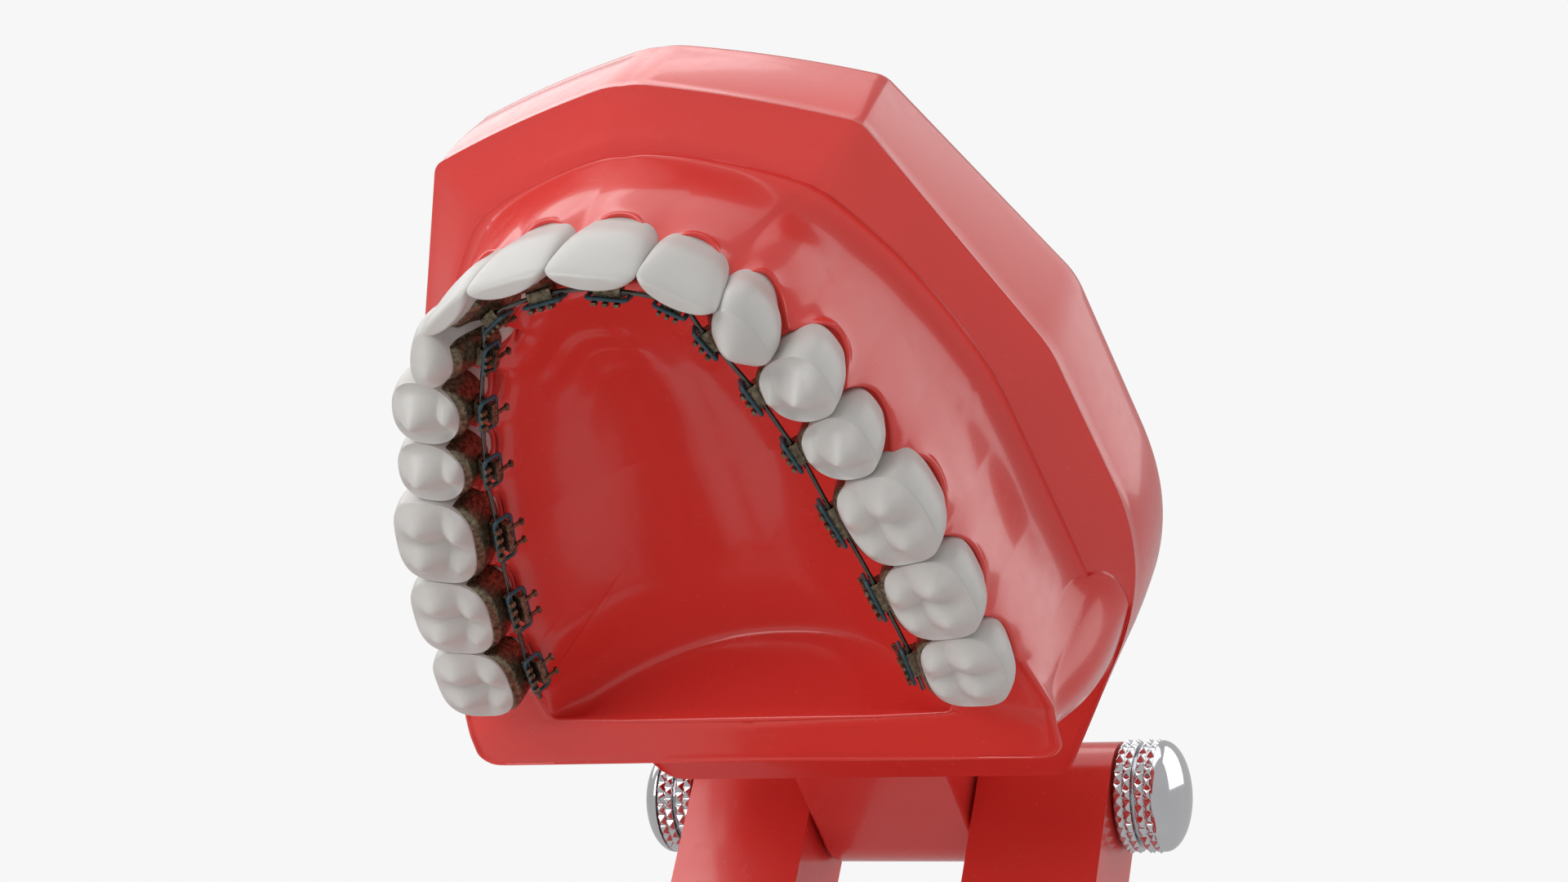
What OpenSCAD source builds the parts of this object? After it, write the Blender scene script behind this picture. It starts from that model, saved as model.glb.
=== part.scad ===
// Hinged dental study model (typodont) with lingual braces.
// Each jaw is drawn in its own frame: x across, a toward the front, o toward the biting side,
// with o = 0 in the plane of the archwire. The lower jaw stands on the table.
// The upper jaw turns on the hinge and is drawn opened by open_angle.

/* [Hinge] */
// How far the upper jaw stands open, in degrees
open_angle = 44; // [0:1:80]
// Distance of the hinge axis behind the archwire's zero line
hinge_back = 42.4; // [40:0.2:50]
// Height of the hinge axis above the upper wire plane when the jaws are shut
hinge_rise = 31.6; // [30:0.2:38]
// Radius of the barrels around the hinge axis
barrel_r = 6.1; // [5:0.1:7]
// Width of the lug of the upper jaw
lug_w = 18.6; // [12:0.2:24]
// Width of each hinge arm
arm_w = 15.4; // [10:0.2:18]
// Thickness of each hinge arm, front to back
arm_t = 11; // [8:0.5:12]
// Side clearance between lug and arms
lug_gap = 0.5; // [0.3:0.1:1]
// Diameter of the hinge axle
axle_d = 4; // [3:0.1:5]
// Radial clearance of the axle in the turning bores
axle_gap = 0.08; // [0.04:0.01:0.1]
// Outer radius of the knobs
knob_r = 6.4; // [5:0.1:8]
// Length of one knurled band of a knob
band_l = 2; // [1.6:0.1:4]
// Width of the groove between the two bands
groove_w = 0.4; // [0.4:0.1:1]
// Depth of that groove
groove_d = 0.7; // [0.4:0.1:1]
// Height of the domed end of a knob
dome_h = 2.8; // [1:0.1:4]
// Gap between a knob and its arm
knob_gap = 0.3; // [0.2:0.1:0.6]

/* [Base] */
// Half width of the base at its widest corners
base_half = 37; // [36:0.5:42]
// Reach of the base's front point
base_front = 60.5; // [60:0.5:66]
// Reach of the base behind the zero line
base_rear = 29.3; // [28:0.5:33]
// Half width of the straight rear edge
rear_half = 23.5; // [20:0.5:28]
// Level of the flat back below the wire plane
back_o = -33.6; // [-36:0.2:-32]
// Level of the outer ridge of the base
ridge1_o = -21.9; // [-23:0.1:-21]
// Level of the inner ridge of the base
ridge2_o = -18.5; // [-20:0.1:-17.5]
// Rounding of the back edge
back_round = 1.6; // [0.8:0.1:2]

/* [Gum] */
// Level of the gum ridge at the zero line
gum_rear = -2.2; // [-3:0.1:-1.5]
// Fall of the gum ridge per mm toward the front
gum_fall = 0.05; // [0.03:0.01:0.07]
// Depth of the palate under the gum ridge
palate_h = 12; // [8:0.5:14]
// Depth of the tongue space under the gum ridge
floor_h = 13; // [8:0.5:14]

/* [Arch] */
// Front reach of the upper row of teeth
upper_front = 57.4; // [56:0.1:58]
// Half width of the upper front curve
upper_half = 13.2; // [12.5:0.1:14]
// Spread of the upper row per mm toward the back
upper_spread = 0.34; // [0.31:0.005:0.36]
// Front reach of the lower row of teeth
lower_front = 54.6; // [53:0.1:56]
// Half width of the lower front curve
lower_half = 10.9; // [10.2:0.1:11.6]
// Spread of the lower row per mm toward the back
lower_spread = 0.355; // [0.33:0.005:0.375]
// Turn of both rows toward the middle at their rear
row_curl = 0.038; // [0.03:0.002:0.046]
// Depth scale of the front bend
front_bend = 1.85; // [1.6:0.05:2.1]
// Gap between neighbouring teeth
tooth_gap = 0.25; // [0.15:0.05:0.4]
// Height of the tooth tips above the wire plane
tip_o = 4.8; // [4.4:0.1:5.4]
// Gap between the rows of teeth when the jaws are shut
bite_gap = 0.4; // [0.2:0.1:1]

/* [Braces] */
// Diameter of the archwire
wire_d = 0.46; // [0.36:0.02:0.6]
// Clearance of the wire in the slots
wire_gap = 0.09; // [0.05:0.01:0.15]
// Thickness of the bonding pads
pad_t = 0.5; // [0.35:0.05:0.6]
// Bond line between pad and tooth
bond_t = 0.14; // [0.12:0.01:0.2]
// Half height of a bracket's body
body_h = 1.0; // [1:0.05:1.6]
// Overhang of the tie wings
wing_h = 0.3; // [0.2:0.05:0.6]
// Thickness of the elastic ties
tie_t = 0.42; // [0.3:0.02:0.5]
// Clearance between elastic ties and brackets
tie_gap = 0.08; // [0.05:0.01:0.15]

/* [Hidden] */
SIDES = ["left", "right"];
KINDS = ["central_incisor", "lateral_incisor", "canine", "first_premolar", "second_premolar",
         "first_molar", "second_molar", "third_molar"];
$fn = 48;

// Jaw index: 0 upper, 1 lower
front = [upper_front, lower_front];
half = [upper_half, lower_half];
spread = [upper_spread, lower_spread];
// Width along the row of the eight teeth of one side
tooth_w = [[8.5, 7.8, 7.4, 7.3, 7.1, 10.2, 9.4, 8.6], [5.7, 6.1, 7.0, 7.1, 7.2, 10.6, 9.8, 9.0]];
// Depth from cheek side to tongue side at the gum
tooth_b = [[6.4, 6.0, 6.8, 7.2, 7.2, 8.8, 8.8, 8.6], [5.2, 5.4, 6.4, 6.6, 7.0, 9.0, 9.0, 8.8]];
// Drop of the tip below tip_o
tip_drop = [0.2, 0.7, 0, 0.2, 0.4, 0.3, 0.5, 0.8];
// Shape class: 0 incisor, 1 canine, 2 premolar, 3 molar
shape = [0, 0, 1, 2, 2, 3, 3, 3];
// Length of each bracket along the wire
bracket_l = [[3.2, 2.4, 2.6, 2.8, 2.8, 4.4, 4.2, 3.6], [2.2, 2.0, 2.2, 2.6, 2.8, 4.4, 4.2, 3.6]];
// Crown profiles by height share: [share, width, cheek side place, depth], per shape class
// the cheek side place is in mm from the row's line, the others are shares of the tooth's size
crown = [
    [[0, 0.74, -0.7, 1], [0.3, 0.9, 0.1, 0.74], [0.6, 0.98, 0.35, 0.42], [0.85, 1, 0.35, 0.26],
        [1, 0.95, 0.25, 0.15]],
    [[0, 0.74, 0.2, 1], [0.3, 0.92, 1.3, 0.88], [0.6, 1, 1.4, 0.62], [0.85, 0.8, 0.8, 0.4],
        [1, 0.34, 0.35, 0.14]],
    [[0, 0.72, 2.8, 0.94], [0.3, 0.93, 3.5, 1], [0.6, 1, 3.5, 0.98], [0.85, 0.92, 2.9, 0.86],
        [1, 0.7, 2.2, 0.62]],
    [[0, 0.84, 4.1, 0.92], [0.3, 0.95, 4.8, 1], [0.6, 1, 4.8, 0.99], [0.85, 0.96, 4.3, 0.9],
        [1, 0.82, 3.4, 0.7]]];
// Squareness of the crown sections per shape class
square_n = [2.5, 2.3, 2.3, 2.8];
// Narrowing of the crown sections toward the tongue, per shape class
taper = [0.42, 0.4, 0.16, 0.06];
// Points around a crown
N = 16;
// Bend of the gum's offsets along the row, in mm
ease = 12;

// Height of the upper wire plane above the table when the jaws are shut
shut = -back_o + 2 * tip_o + bite_gap;
mid_a = (base_front - base_rear) / 2;
hinge_y = mid_a + hinge_back;
hinge_z = shut + hinge_rise;
arm_x = lug_w / 2 + lug_gap;
knob_x = arm_x + arm_w + knob_gap;
knob_l = 2 * band_l + groove_w + dome_h;
lean = 29;

function lerp(a, b, t) = a + (b - a) * t;
function unit(v) = v / norm(v);
function gum(a) = gum_rear - gum_fall * a;
// Row of teeth: depth d behind the front, cross place x(d)
function row_x(j, d) = half[j] * (1 - exp(-pow(max(d, 0) / front_bend, 0.9))) + spread[j] * d
    - row_curl * pow(max(d, 0) / 10, 3);
function row(j, d) = [row_x(j, d), front[j] - d];
function row_n(j, d) = let (e = 0.05, t = unit(row(j, d + e) - row(j, max(d - e, 0)))) [-t.y, t.x];
STEPS = 220;
function row_d(i) = 62 * pow(i / STEPS, 1.6);
function row_table(j) = [for (i = 0, s = 0; i <= STEPS;
    s = s + (i < STEPS ? norm(row(j, row_d(i + 1)) - row(j, row_d(i))) : 0), i = i + 1) [s, row_d(i)]];
row_tables = [row_table(0), row_table(1)];
function row_at(j, s) = row(j, lookup(s, row_tables[j]));
function sum_to(v, n, i = 0) = i >= n ? 0 : v[i] + sum_to(v, n, i + 1);

// Frame of tooth k: mid point, direction along the row, outward direction
function tooth_frame(j, k) = let (p = row_at(j, sum_to(tooth_w[j], k)),
    q = row_at(j, sum_to(tooth_w[j], k + 1)),
    u = unit(q - p)) [(p + q) / 2, u, [-u.y, u.x]];
function tip(k) = tip_o - tip_drop[k];
function column(c, i) = [for (r = crown[c]) [r[0], r[i]]];
function sgn_pow(x, p) = sign(x) * pow(abs(x), p);
// Share of the height at level o of tooth k
function share(j, k, o) = let (g = gum(tooth_frame(j, k)[0].y)) (o - g) / (tip(k) - g);
function cheek(k, t) = lookup(t, column(shape[k], 2));
function depth(j, k, t) = tooth_b[j][k] * lookup(t, column(shape[k], 3));
function tongue(j, k, t) = cheek(k, t) - depth(j, k, t);
// Crown point in the tooth's frame: along, outward
function crown_uv(j, k, t, ang) = let (c = shape[k], n = 2 / square_n[c],
    w = (tooth_w[j][k] - tooth_gap) / 2 * lookup(t, column(c, 1)), b = depth(j, k, t) / 2)
    [w * sgn_pow(cos(ang), n) * (1 - taper[c] * (1 - sgn_pow(sin(ang), n)) / 2),
        cheek(k, t) - b + b * sgn_pow(sin(ang), n)];
function to_jaw(j, k, uv) = let (f = tooth_frame(j, k)) f[0] + uv[0] * f[1] + uv[1] * f[2];
// Fall of the rim between the cusps
function rim_fall(c, ang) =
    c == 3 ? 1.0 * (1 - abs(sin(2 * ang))) : c == 2 ? 1.3 * (1 - pow(abs(sin(ang)), 1.5))
    : c == 1 ? 1.0 * abs(cos(ang)) : 0;
function crown_ring(j, k, t) = let (f = tooth_frame(j, k), g = gum(f[0].y), o = lerp(g, tip(k), t))
    [for (i = [0:N - 1]) let (ang = 360 * i / N, p = to_jaw(j, k, crown_uv(j, k, t, ang)))
        [p.x, p.y, t == 0 ? gum(p.y) : o - (t == 1 ? rim_fall(shape[k], ang) : 0)]];
// Inner ring and middle of the biting face
function fossa_ring(j, k, m, fall) = let (c = cheek(k, 1) - depth(j, k, 1) / 2)
    [for (i = [0:N - 1]) let (ang = 360 * i / N, uv = crown_uv(j, k, 1, ang),
        p = to_jaw(j, k, [uv[0] * m, c + (uv[1] - c) * m]))
        [p.x, p.y, tip(k) - fall - rim_fall(shape[k], ang) * m]];
function flat(l) = [for (a = l) for (b = a) b];
// Faces of a stack of closed rings of n points, ended by one point each
function stack_faces(n, m) = concat(
    [for (i = [0:n - 1]) [0, 1 + (i + 1) % n, 1 + i]],
    [for (r = [0:m - 2]) for (i = [0:n - 1]) let (a = 1 + r * n + i, b = 1 + r * n + (i + 1) % n) each
        [[a, b, b + n], [a, b + n, a + n]]],
    [for (i = [0:n - 1]) [1 + m * n, 1 + (m - 1) * n + i, 1 + (m - 1) * n + (i + 1) % n]]);
function mean(l) = [for (i = [0:2]) [for (p = l) p[i]] * [for (p = l) 1] / len(l)];
function flip(f) = [for (t = f) [t[2], t[1], t[0]]];

module tooth(j, k) {
    c = shape[k];
    rings = [for (r = crown[c]) crown_ring(j, k, r[0])];
    all = c >= 2 ? concat(rings, [fossa_ring(j, k, 0.5, c == 3 ? 1.0 : 0.9)]) : rings;
    f = tooth_frame(j, k);
    m = to_jaw(j, k, [0, cheek(k, 1) - depth(j, k, 1) / 2]);
    low = mean(rings[0]);
    polyhedron(concat([[low.x, low.y, gum(low.y)]], flat(all),
        [[m.x, m.y, tip(k) - (c == 3 ? 1.9 : c == 2 ? 1.7 : 0)]]), flip(stack_faces(N, len(all))));
}

// Outlines of one side of the base, from the front point to the middle of the rear edge.
// The widest corner is rounded
corner_soft = 0.4;
corner_out = 1.6;
// Half width of the strip behind the last molars
strip_half = 31;
ridge1_bow = [0.5, 0];
ridge2_bow = [0.8, 1.5];
ridge1 = [[0, base_front], [22, 53.7], [base_half - 3, 27], [base_half + corner_out, -1],
    [rear_half, -base_rear], [0, -base_rear]];
ridge2 = [[0, base_front - 5.2], [17.7, 49.5], [base_half - 8.4, 26], [base_half - 3.8 + corner_out, 0.5],
    [strip_half - 3, -12.3], [0, -12.3]];
back = [[0, base_front - 2], [21.5, 52.4], [base_half - 2, 28], [base_half + 1 + corner_out, -3],
    [rear_half, -base_rear], [0, -base_rear]];
EDGE = 8;
// Points of an outline: EDGE steps on each side, with a parabola over corner 3
function corner_curve(p, t) = (1 - t) * (1 - t) * lerp(p[3], p[2], corner_soft) + 2 * t * (1 - t) * p[3]
    + t * t * lerp(p[3], p[4], corner_soft);
function outline_point(p, i) = let (e = min(floor(i / EDGE), 4), d = (i / EDGE - 3) / corner_soft)
    abs(d) < 1 ? corner_curve(p, (d + 1) / 2) : lerp(p[e], p[e + 1], i / EDGE - e);
// Outward bow of the two front edges
function bow(p, i, b) = i > 2 * EDGE ? [0, 0]
    : let (e = min(floor(i / EDGE), 1), f = i / EDGE - e, d = unit(p[e + 1] - p[e]))
        b[e] * 4 * f * (1 - f) * [-d.y, d.x];
function full_outline(p, b = [0, 0]) = [for (i = [0:5 * EDGE]) outline_point(p, i) + bow(p, i, b)];
// Depth behind the front of the row that faces outline point i
knots = [0, 6, 30, 58.5];
rear_a = -2.6;
rear_wall = 7.5;
function face_d(i) = let (e = min(floor(i / EDGE), 2), t = i / EDGE - e) lerp(knots[e], knots[e + 1], t);
function gum_out(d) = 0.9 + 4.5 * (1 - exp(-d / ease));
function gum_in(d) = 7.4 - 1.2 * (1 - exp(-d / ease));
LAST = 5 * EDGE;
// Outer and inner edge of the gum ridge
function crest_out(j, i) = i <= 3 * EDGE
    ? let (d = face_d(i), p = row(j, d) + gum_out(d) * row_n(j, d)) [i == 0 ? 0 : p.x, p.y]
    : let (p = crest_out(j, 3 * EDGE), t = (i - 3 * EDGE) / EDGE)
        t <= 1 ? lerp(p, [strip_half, -rear_wall], t) : lerp([strip_half, -rear_wall], [0, -rear_wall], t - 1);
function crest_in(j, i) = i <= 3 * EDGE
    ? let (d = face_d(i), p = row(j, d) - gum_in(d) * row_n(j, d)) [i == 0 ? 0 : max(p.x, 0.2), p.y]
    : let (p = crest_in(j, 3 * EDGE), t = (i - 3 * EDGE) / (2 * EDGE)) lerp(p, [0, rear_a], t);
// Level of the ridge's top: the lower jaw opens toward the throat
throat_half = 19;
throat_ease = 8;
function smooth(t) = let (s = min(max(t, 0), 1)) s * s * (3 - 2 * s);
function crest_o(j, i, p) = gum(p.y)
    - (j == 1 && i > 3 * EDGE ? (floor_h - 1) * smooth((throat_half - p.x) / throat_ease) : 0);
// Level of the inner ridge: the base has a flat ledge behind
function ridge_o(i) = lerp(ridge2_o, ridge1_o, min(max(2 * i / EDGE - 6, 0), 1));
mid = [0, 22];
function vault_h(j) = j == 0 ? palate_h : floor_h;
// Behind the middle the palate is a trough that ends at a steep rear wall
function trough(j, q, low) = lerp(low, gum(q.y), pow(min(q.x / crest_in(j, 3 * EDGE).x, 1), 2.3));
function half_ring(j, n) = let (r1 = full_outline(ridge1, ridge1_bow), r2 = full_outline(ridge2, ridge2_bow),
    bk = full_outline(back, ridge1_bow))
    [for (i = [0:LAST]) let (co = crest_out(j, i), ci = crest_in(j, i),
        go = crest_o(j, i, co), gi = crest_o(j, i, ci),
        out = unit(co - mid), o5 = lerp(ridge2_o, go, 0.22), o6 = lerp(ridge2_o, go, 0.7),
        low = gum(mid.y) - vault_h(j), e = j == 0 ? smooth((i - 3 * EDGE) / 4) : 0)
        n == 0 ? let (q = lerp(bk[i], [0, 15], back_round / norm(bk[i] - [0, 15]))) [q.x, q.y, back_o]
        : n == 1 ? [bk[i].x, bk[i].y, back_o + back_round]
        : n == 2 ? [r1[i].x, r1[i].y, ridge1_o]
        : n == 3 ? [r2[i].x, r2[i].y, ridge_o(i)]
        : n == 4 ? let (q = lerp(r2[i], co, 0.4) - 1.0 * out) [i == 0 || i == LAST ? 0 : q.x, q.y, o5]
        : n == 5 ? let (q = lerp(r2[i], co, 0.85) + 0.5 * out) [i == 0 || i == LAST ? 0 : q.x, q.y, o6]
        : n == 6 ? [co.x, co.y, go]
        : n == 7 ? [ci.x, ci.y, gi]
        : n == 8 ? let (q = lerp(ci, mid, lerp(0.16, 0.03, e)))
            [q.x, q.y, lerp(lerp(gi, low, 0.5), trough(j, q, low), e)]
        : n == 9 ? let (q = lerp(ci, mid, 0.42))
            [q.x, q.y, lerp(lerp(gi, low, 0.85), trough(j, q, low), e)]
        : let (q = lerp(ci, mid, 0.75)) [q.x, q.y, lerp(gi, low, 0.98)]];
function whole_ring(j, n) = let (h = half_ring(j, n))
    concat(h, [for (i = [LAST - 1:-1:1]) [-h[i].x, h[i].y, h[i].z]]);
RINGS = 11;

module cast(j) {
    polyhedron(concat([[0, 15, back_o]], flat([for (n = [0:RINGS - 1]) whole_ring(j, n)]),
        [[mid.x, mid.y, gum(mid.y) - vault_h(j)]]), stack_faces(2 * LAST, RINGS));
}

// Places of the two jaws
module upper_place() {
    translate([0, hinge_y, hinge_z]) rotate([-open_angle, 0, 0])
        translate([0, mid_a - hinge_y, shut - hinge_z]) rotate([180, 0, 0]) children();
}
module lower_place() { translate([0, mid_a, -back_o]) mirror([0, 1, 0]) children(); }
module place(j) { if (j == 0) upper_place() children(); else lower_place() children(); }
module side(s) { if (s == 0) mirror([1, 0, 0]) children(); else children(); }

// Slot of bracket k: distance of the wire from the row's line
slot_back = 0.36;
wing_t = 0.3;
// Hooks on the gum side of the pads: width, length, thickness
hook_w = 0.7;
hook_l = 0.95;
hook_t = 0.45;
function slot_v(j, k) = min([for (o = [-0.5, 0, 0.5]) tongue(j, k, share(j, k, o * body_h))])
    - bond_t - pad_t - slot_back - wire_d / 2;
function tongue_at(j, k, o) = tongue(j, k, share(j, k, o)) - bond_t - pad_t / 2;
function pad_rows(k) = [shape[k] == 3 ? 0.06 : 0.16, 0.3, 0.6, 0.8];
function pad_cols(k) = shape[k] < 2 ? [-2, -1, 0, 1, 2] : [-3, -2, -1, 0, 1, 2, 3];
function pad_point(j, k, t, i, off) = let (uv = crown_uv(j, k, t, 270 + i * 360 / N),
    p = to_jaw(j, k, [uv[0], uv[1] - off]), g = gum(tooth_frame(j, k)[0].y)) [p.x, p.y, lerp(g, tip(k), t)];
module pad(j, k) {
    cols = pad_cols(k);
    m = len(cols);
    rows = pad_rows(k);
    n = len(rows);
    pts = [for (off = [bond_t, bond_t + pad_t]) for (t = rows) for (i = cols) pad_point(j, k, t, i, off)];
    function id(s, r, c) = s * m * n + r * m + c;
    polyhedron(pts, concat(
        [for (r = [0:n - 2]) for (c = [0:m - 2]) each [[id(0, r, c), id(0, r, c + 1), id(0, r + 1, c + 1)],
            [id(0, r, c), id(0, r + 1, c + 1), id(0, r + 1, c)],
            [id(1, r, c), id(1, r + 1, c + 1), id(1, r, c + 1)],
            [id(1, r, c), id(1, r + 1, c), id(1, r + 1, c + 1)]]],
        [for (c = [0:m - 2]) each [[id(0, 0, c), id(1, 0, c), id(1, 0, c + 1)],
            [id(0, 0, c), id(1, 0, c + 1), id(0, 0, c + 1)],
            [id(0, n - 1, c), id(1, n - 1, c + 1), id(1, n - 1, c)],
            [id(0, n - 1, c), id(0, n - 1, c + 1), id(1, n - 1, c + 1)]]],
        [for (r = [0:n - 2]) each [[id(0, r, 0), id(1, r + 1, 0), id(1, r, 0)],
            [id(0, r, 0), id(0, r + 1, 0), id(1, r + 1, 0)],
            [id(0, r, m - 1), id(1, r, m - 1), id(1, r + 1, m - 1)],
            [id(0, r, m - 1), id(1, r + 1, m - 1), id(0, r + 1, m - 1)]]]));
}
// Frame of tooth k with u along the row, w toward the tongue from the wire, o up
module at_slot(j, k) {
    f = tooth_frame(j, k);
    p = to_jaw(j, k, [0, slot_v(j, k)]);
    translate([p.x, p.y, 0]) rotate([0, 0, atan2(f[1].y, f[1].x)]) children();
}
module bracket(j, k) {
    l = bracket_l[j][k];
    s = wire_d / 2 + wire_gap;
    b = slot_v(j, k);
    w1 = -wire_d / 2 - wire_gap;
    w2 = wire_d / 2 + wire_gap + tie_gap + tie_t + tie_gap;
    w3 = w2 + wing_t;
    lo = tongue_at(j, k, -body_h) - b;
    hi = tongue_at(j, k, body_h) - b;
    n = shape[k] == 3 ? 4 : 3;
    // Hooks stand on the pad between the elastic tie and the gum
    top = -body_h - tie_gap - tie_t - 0.12;
    hook_o = max(top - hook_l, gum(tooth_frame(j, k)[0].y) + 0.3);
    hook_h = max(top - hook_o, 0.12);
    hook_y = tongue(j, k, share(j, k, hook_o + hook_h / 2)) - bond_t - pad_t - b;
    pad(j, k);
    at_slot(j, k) {
        // Body with slot and tie wings, drawn in the plane across the wire
        rotate([90, 0, 90]) translate([0, 0, -l / 2]) linear_extrude(l)
            polygon([[lo, -body_h], [-w2, -body_h], [-w2, -body_h - wing_h], [-w3, -body_h - wing_h],
                [-w3, -s], [-w1, -s], [-w1, s], [-w3, s],
                [-w3, body_h + wing_h], [-w2, body_h + wing_h], [-w2, body_h], [hi, body_h]]);
        // Row of square studs on the biting edge
        for (i = [0:n - 1]) translate([(i - (n - 1) / 2) * l / n - l / n * 0.28, w1, body_h - 0.2])
            cube([l / n * 0.56, 0.75, 0.9]);
        // Hooks on the gum edge
        for (i = shape[k] == 3 ? [-1, 1] : [0]) translate([i * l * 0.28 - hook_w / 2, hook_y - hook_t, hook_o])
            cube([hook_w, hook_t + pad_t * 0.3, hook_h]);
    }
}
function rounded(a, b, r) = [for (q = [[1, 1, 0], [-1, 1, 90], [-1, -1, 180], [1, -1, 270]]) for (i = [0:4])
    [q[0] * (a - r) + r * cos(q[2] + 22.5 * i), q[1] * (b - r) + r * sin(q[2] + 22.5 * i)]];
module tie(j, k) {
    a = bracket_l[j][k] / 2 + tie_gap;
    b = body_h + tie_gap;
    w = wire_d / 2 + wire_gap + tie_gap;
    at_slot(j, k) translate([0, -w, 0]) rotate([90, 0, 0]) linear_extrude(tie_t) difference() {
        polygon(rounded(a + tie_t, b + tie_t, tie_t + 0.25));
        polygon(rounded(a, b, 0.05));
    }
}
// Archwire: straight through each slot, then on to the next
function wire_side(j) = [for (k = [0:7]) for (e = [-1, 1])
    let (past = k == 7 && e == 1 ? 1.6 : tie_gap + tie_t + 0.12)
    to_jaw(j, k, [e * (bracket_l[j][k] / 2 + past), slot_v(j, k)])];
module archwire(j) {
    h = wire_side(j);
    p = concat([for (i = [len(h) - 1:-1:0]) [-h[i].x, h[i].y]], h);
    m = len(p);
    rings = [for (i = [0:m - 1]) let (a = unit(p[i] - p[max(i - 1, 0)] + [1e-9, 0]),
        b = unit(p[min(i + 1, m - 1)] - p[i] + [1e-9, 0]),
        t = i == 0 ? b : i == m - 1 ? a : unit(a + b),
        q = [-t.y, t.x] / (i == 0 || i == m - 1 ? 1 : max(a * t, 0.6)))
        [for (s = [0:7]) let (c = wire_d / 2 * cos(45 * s))
            [p[i].x + q.x * c, p[i].y + q.y * c, wire_d / 2 * sin(45 * s)]]];
    polyhedron(concat([[p[0].x, p[0].y, 0]], flat(rings), [[p[m - 1].x, p[m - 1].y, 0]]),
        flip(stack_faces(8, m)));
}

module upper_cast() { color("firebrick") upper_place() cast(0); }
module lower_cast() { color("firebrick") lower_place() cast(1); }
// Lug on the rear wall of the upper base, ended by the middle barrel
// Side view of the lug: from the rear wall to a barrel, along tangents
pin = [-hinge_back, -hinge_rise];
lug_r = barrel_r + 1.2;
function tangent(p, e) = let (d = p - pin) atan2(d.y, d.x) + e * acos(lug_r / norm(d));
module upper_hinge_lug() {
    low = [-base_rear, back_o + back_round];
    top = [-base_rear, ridge1_o - 1.2];
    t0 = tangent(top, 1);
    t1 = tangent(low, -1) + 360;
    color("firebrick") upper_place() translate([-lug_w / 2, 0, 0]) rotate([90, 0, 90]) difference() {
        linear_extrude(lug_w) polygon(concat([low, top],
            [for (i = [0:40]) let (t = lerp(t0, t1, i / 40)) pin + lug_r * [cos(t), sin(t)]]));
        translate([-hinge_back, -hinge_rise, -1]) cylinder(h = lug_w + 2, d = axle_d + 2 * axle_gap);
    }
}
ledge_z = ridge1_o - back_o;
foot_y = mid_a + base_rear - arm_t / 2 - 3;
knee_z = hinge_z - (hinge_y - foot_y) / tan(lean);
module hinge_arm() {
    d = [-sin(lean), -cos(lean)];
    n = [cos(lean), -sin(lean)] * arm_t / 2;
    h = [hinge_y, hinge_z];
    k = tan(lean / 2) * arm_t / 2;
    color("firebrick") difference() {
        translate([arm_x, 0, 0]) rotate([90, 0, 90]) linear_extrude(arm_w) union() {
            polygon([h + n, h - n, [foot_y - arm_t / 2, knee_z + k], [foot_y - arm_t / 2, ledge_z],
                [foot_y + arm_t / 2, ledge_z], [foot_y + arm_t / 2, knee_z - k]]);
            translate(h) circle(barrel_r);
        }
        translate([0, hinge_y, hinge_z]) rotate([0, 90, 0]) cylinder(h = 3 * arm_x + 3 * arm_w, d = axle_d);
    }
}
module left_hinge_arm() { mirror([1, 0, 0]) hinge_arm(); }
module right_hinge_arm() { hinge_arm(); }
bore_l = 2 * band_l;
module hinge_axle() {
    color("silver") translate([-knob_x - bore_l + 0.3, hinge_y, hinge_z]) rotate([0, 90, 0])
        cylinder(h = 2 * (knob_x + bore_l - 0.3), d = axle_d);
}
module knob() {
    r = knob_r;
    color("gainsboro") translate([knob_x, hinge_y, hinge_z]) rotate([0, 90, 0]) difference() {
        rotate_extrude() polygon(concat([[0, 0], [r, 0], [r, band_l], [r - groove_d, band_l],
            [r - groove_d, band_l + groove_w],
            [r, band_l + groove_w], [r, 2 * band_l + groove_w]],
            [for (a = [0:10:90]) [(r - 0.2) * cos(a), 2 * band_l + groove_w + dome_h * sin(a)]]));
        translate([0, 0, -1]) cylinder(h = bore_l + 1, d = axle_d + 2 * axle_gap);
    }
}
module left_knob() { mirror([1, 0, 0]) knob(); }
module right_knob() { knob(); }
module upper_archwire() { color("dimgray") upper_place() archwire(0); }
module lower_archwire() { color("dimgray") lower_place() archwire(1); }
module brackets(j) { for (s = [0, 1]) for (k = [0:7]) side(s) bracket(j, k); }
module ties(j) { for (s = [0, 1]) for (k = [0:7]) side(s) tie(j, k); }
module upper_brackets() { color("slategray") upper_place() brackets(0); }
module lower_brackets() { color("slategray") lower_place() brackets(1); }
module upper_elastic_ties() { color("steelblue") upper_place() ties(0); }
module lower_elastic_ties() { color("steelblue") lower_place() ties(1); }

upper_cast();
lower_cast();
upper_hinge_lug();
left_hinge_arm();
right_hinge_arm();
hinge_axle();
left_knob();
right_knob();
upper_archwire();
lower_archwire();
upper_brackets();
lower_brackets();
upper_elastic_ties();
lower_elastic_ties();
for (j = [0, 1]) for (s = [0, 1]) for (k = [0:7])
    color("ivory") place(j) side(s) tooth(j, k);
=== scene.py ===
# %% [markdown]
# # A hinged typodont with lingual braces
# A typodont is the model that dental students practise on: two red plastic jaws, white teeth and,
# here, braces on the tongue side. The imported solids give every size and place, and this lesson dresses them.
# The first cell loads them.

# %% Load the solids
import bpy
import numpy as np
from mathutils import Matrix, Vector


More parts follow.
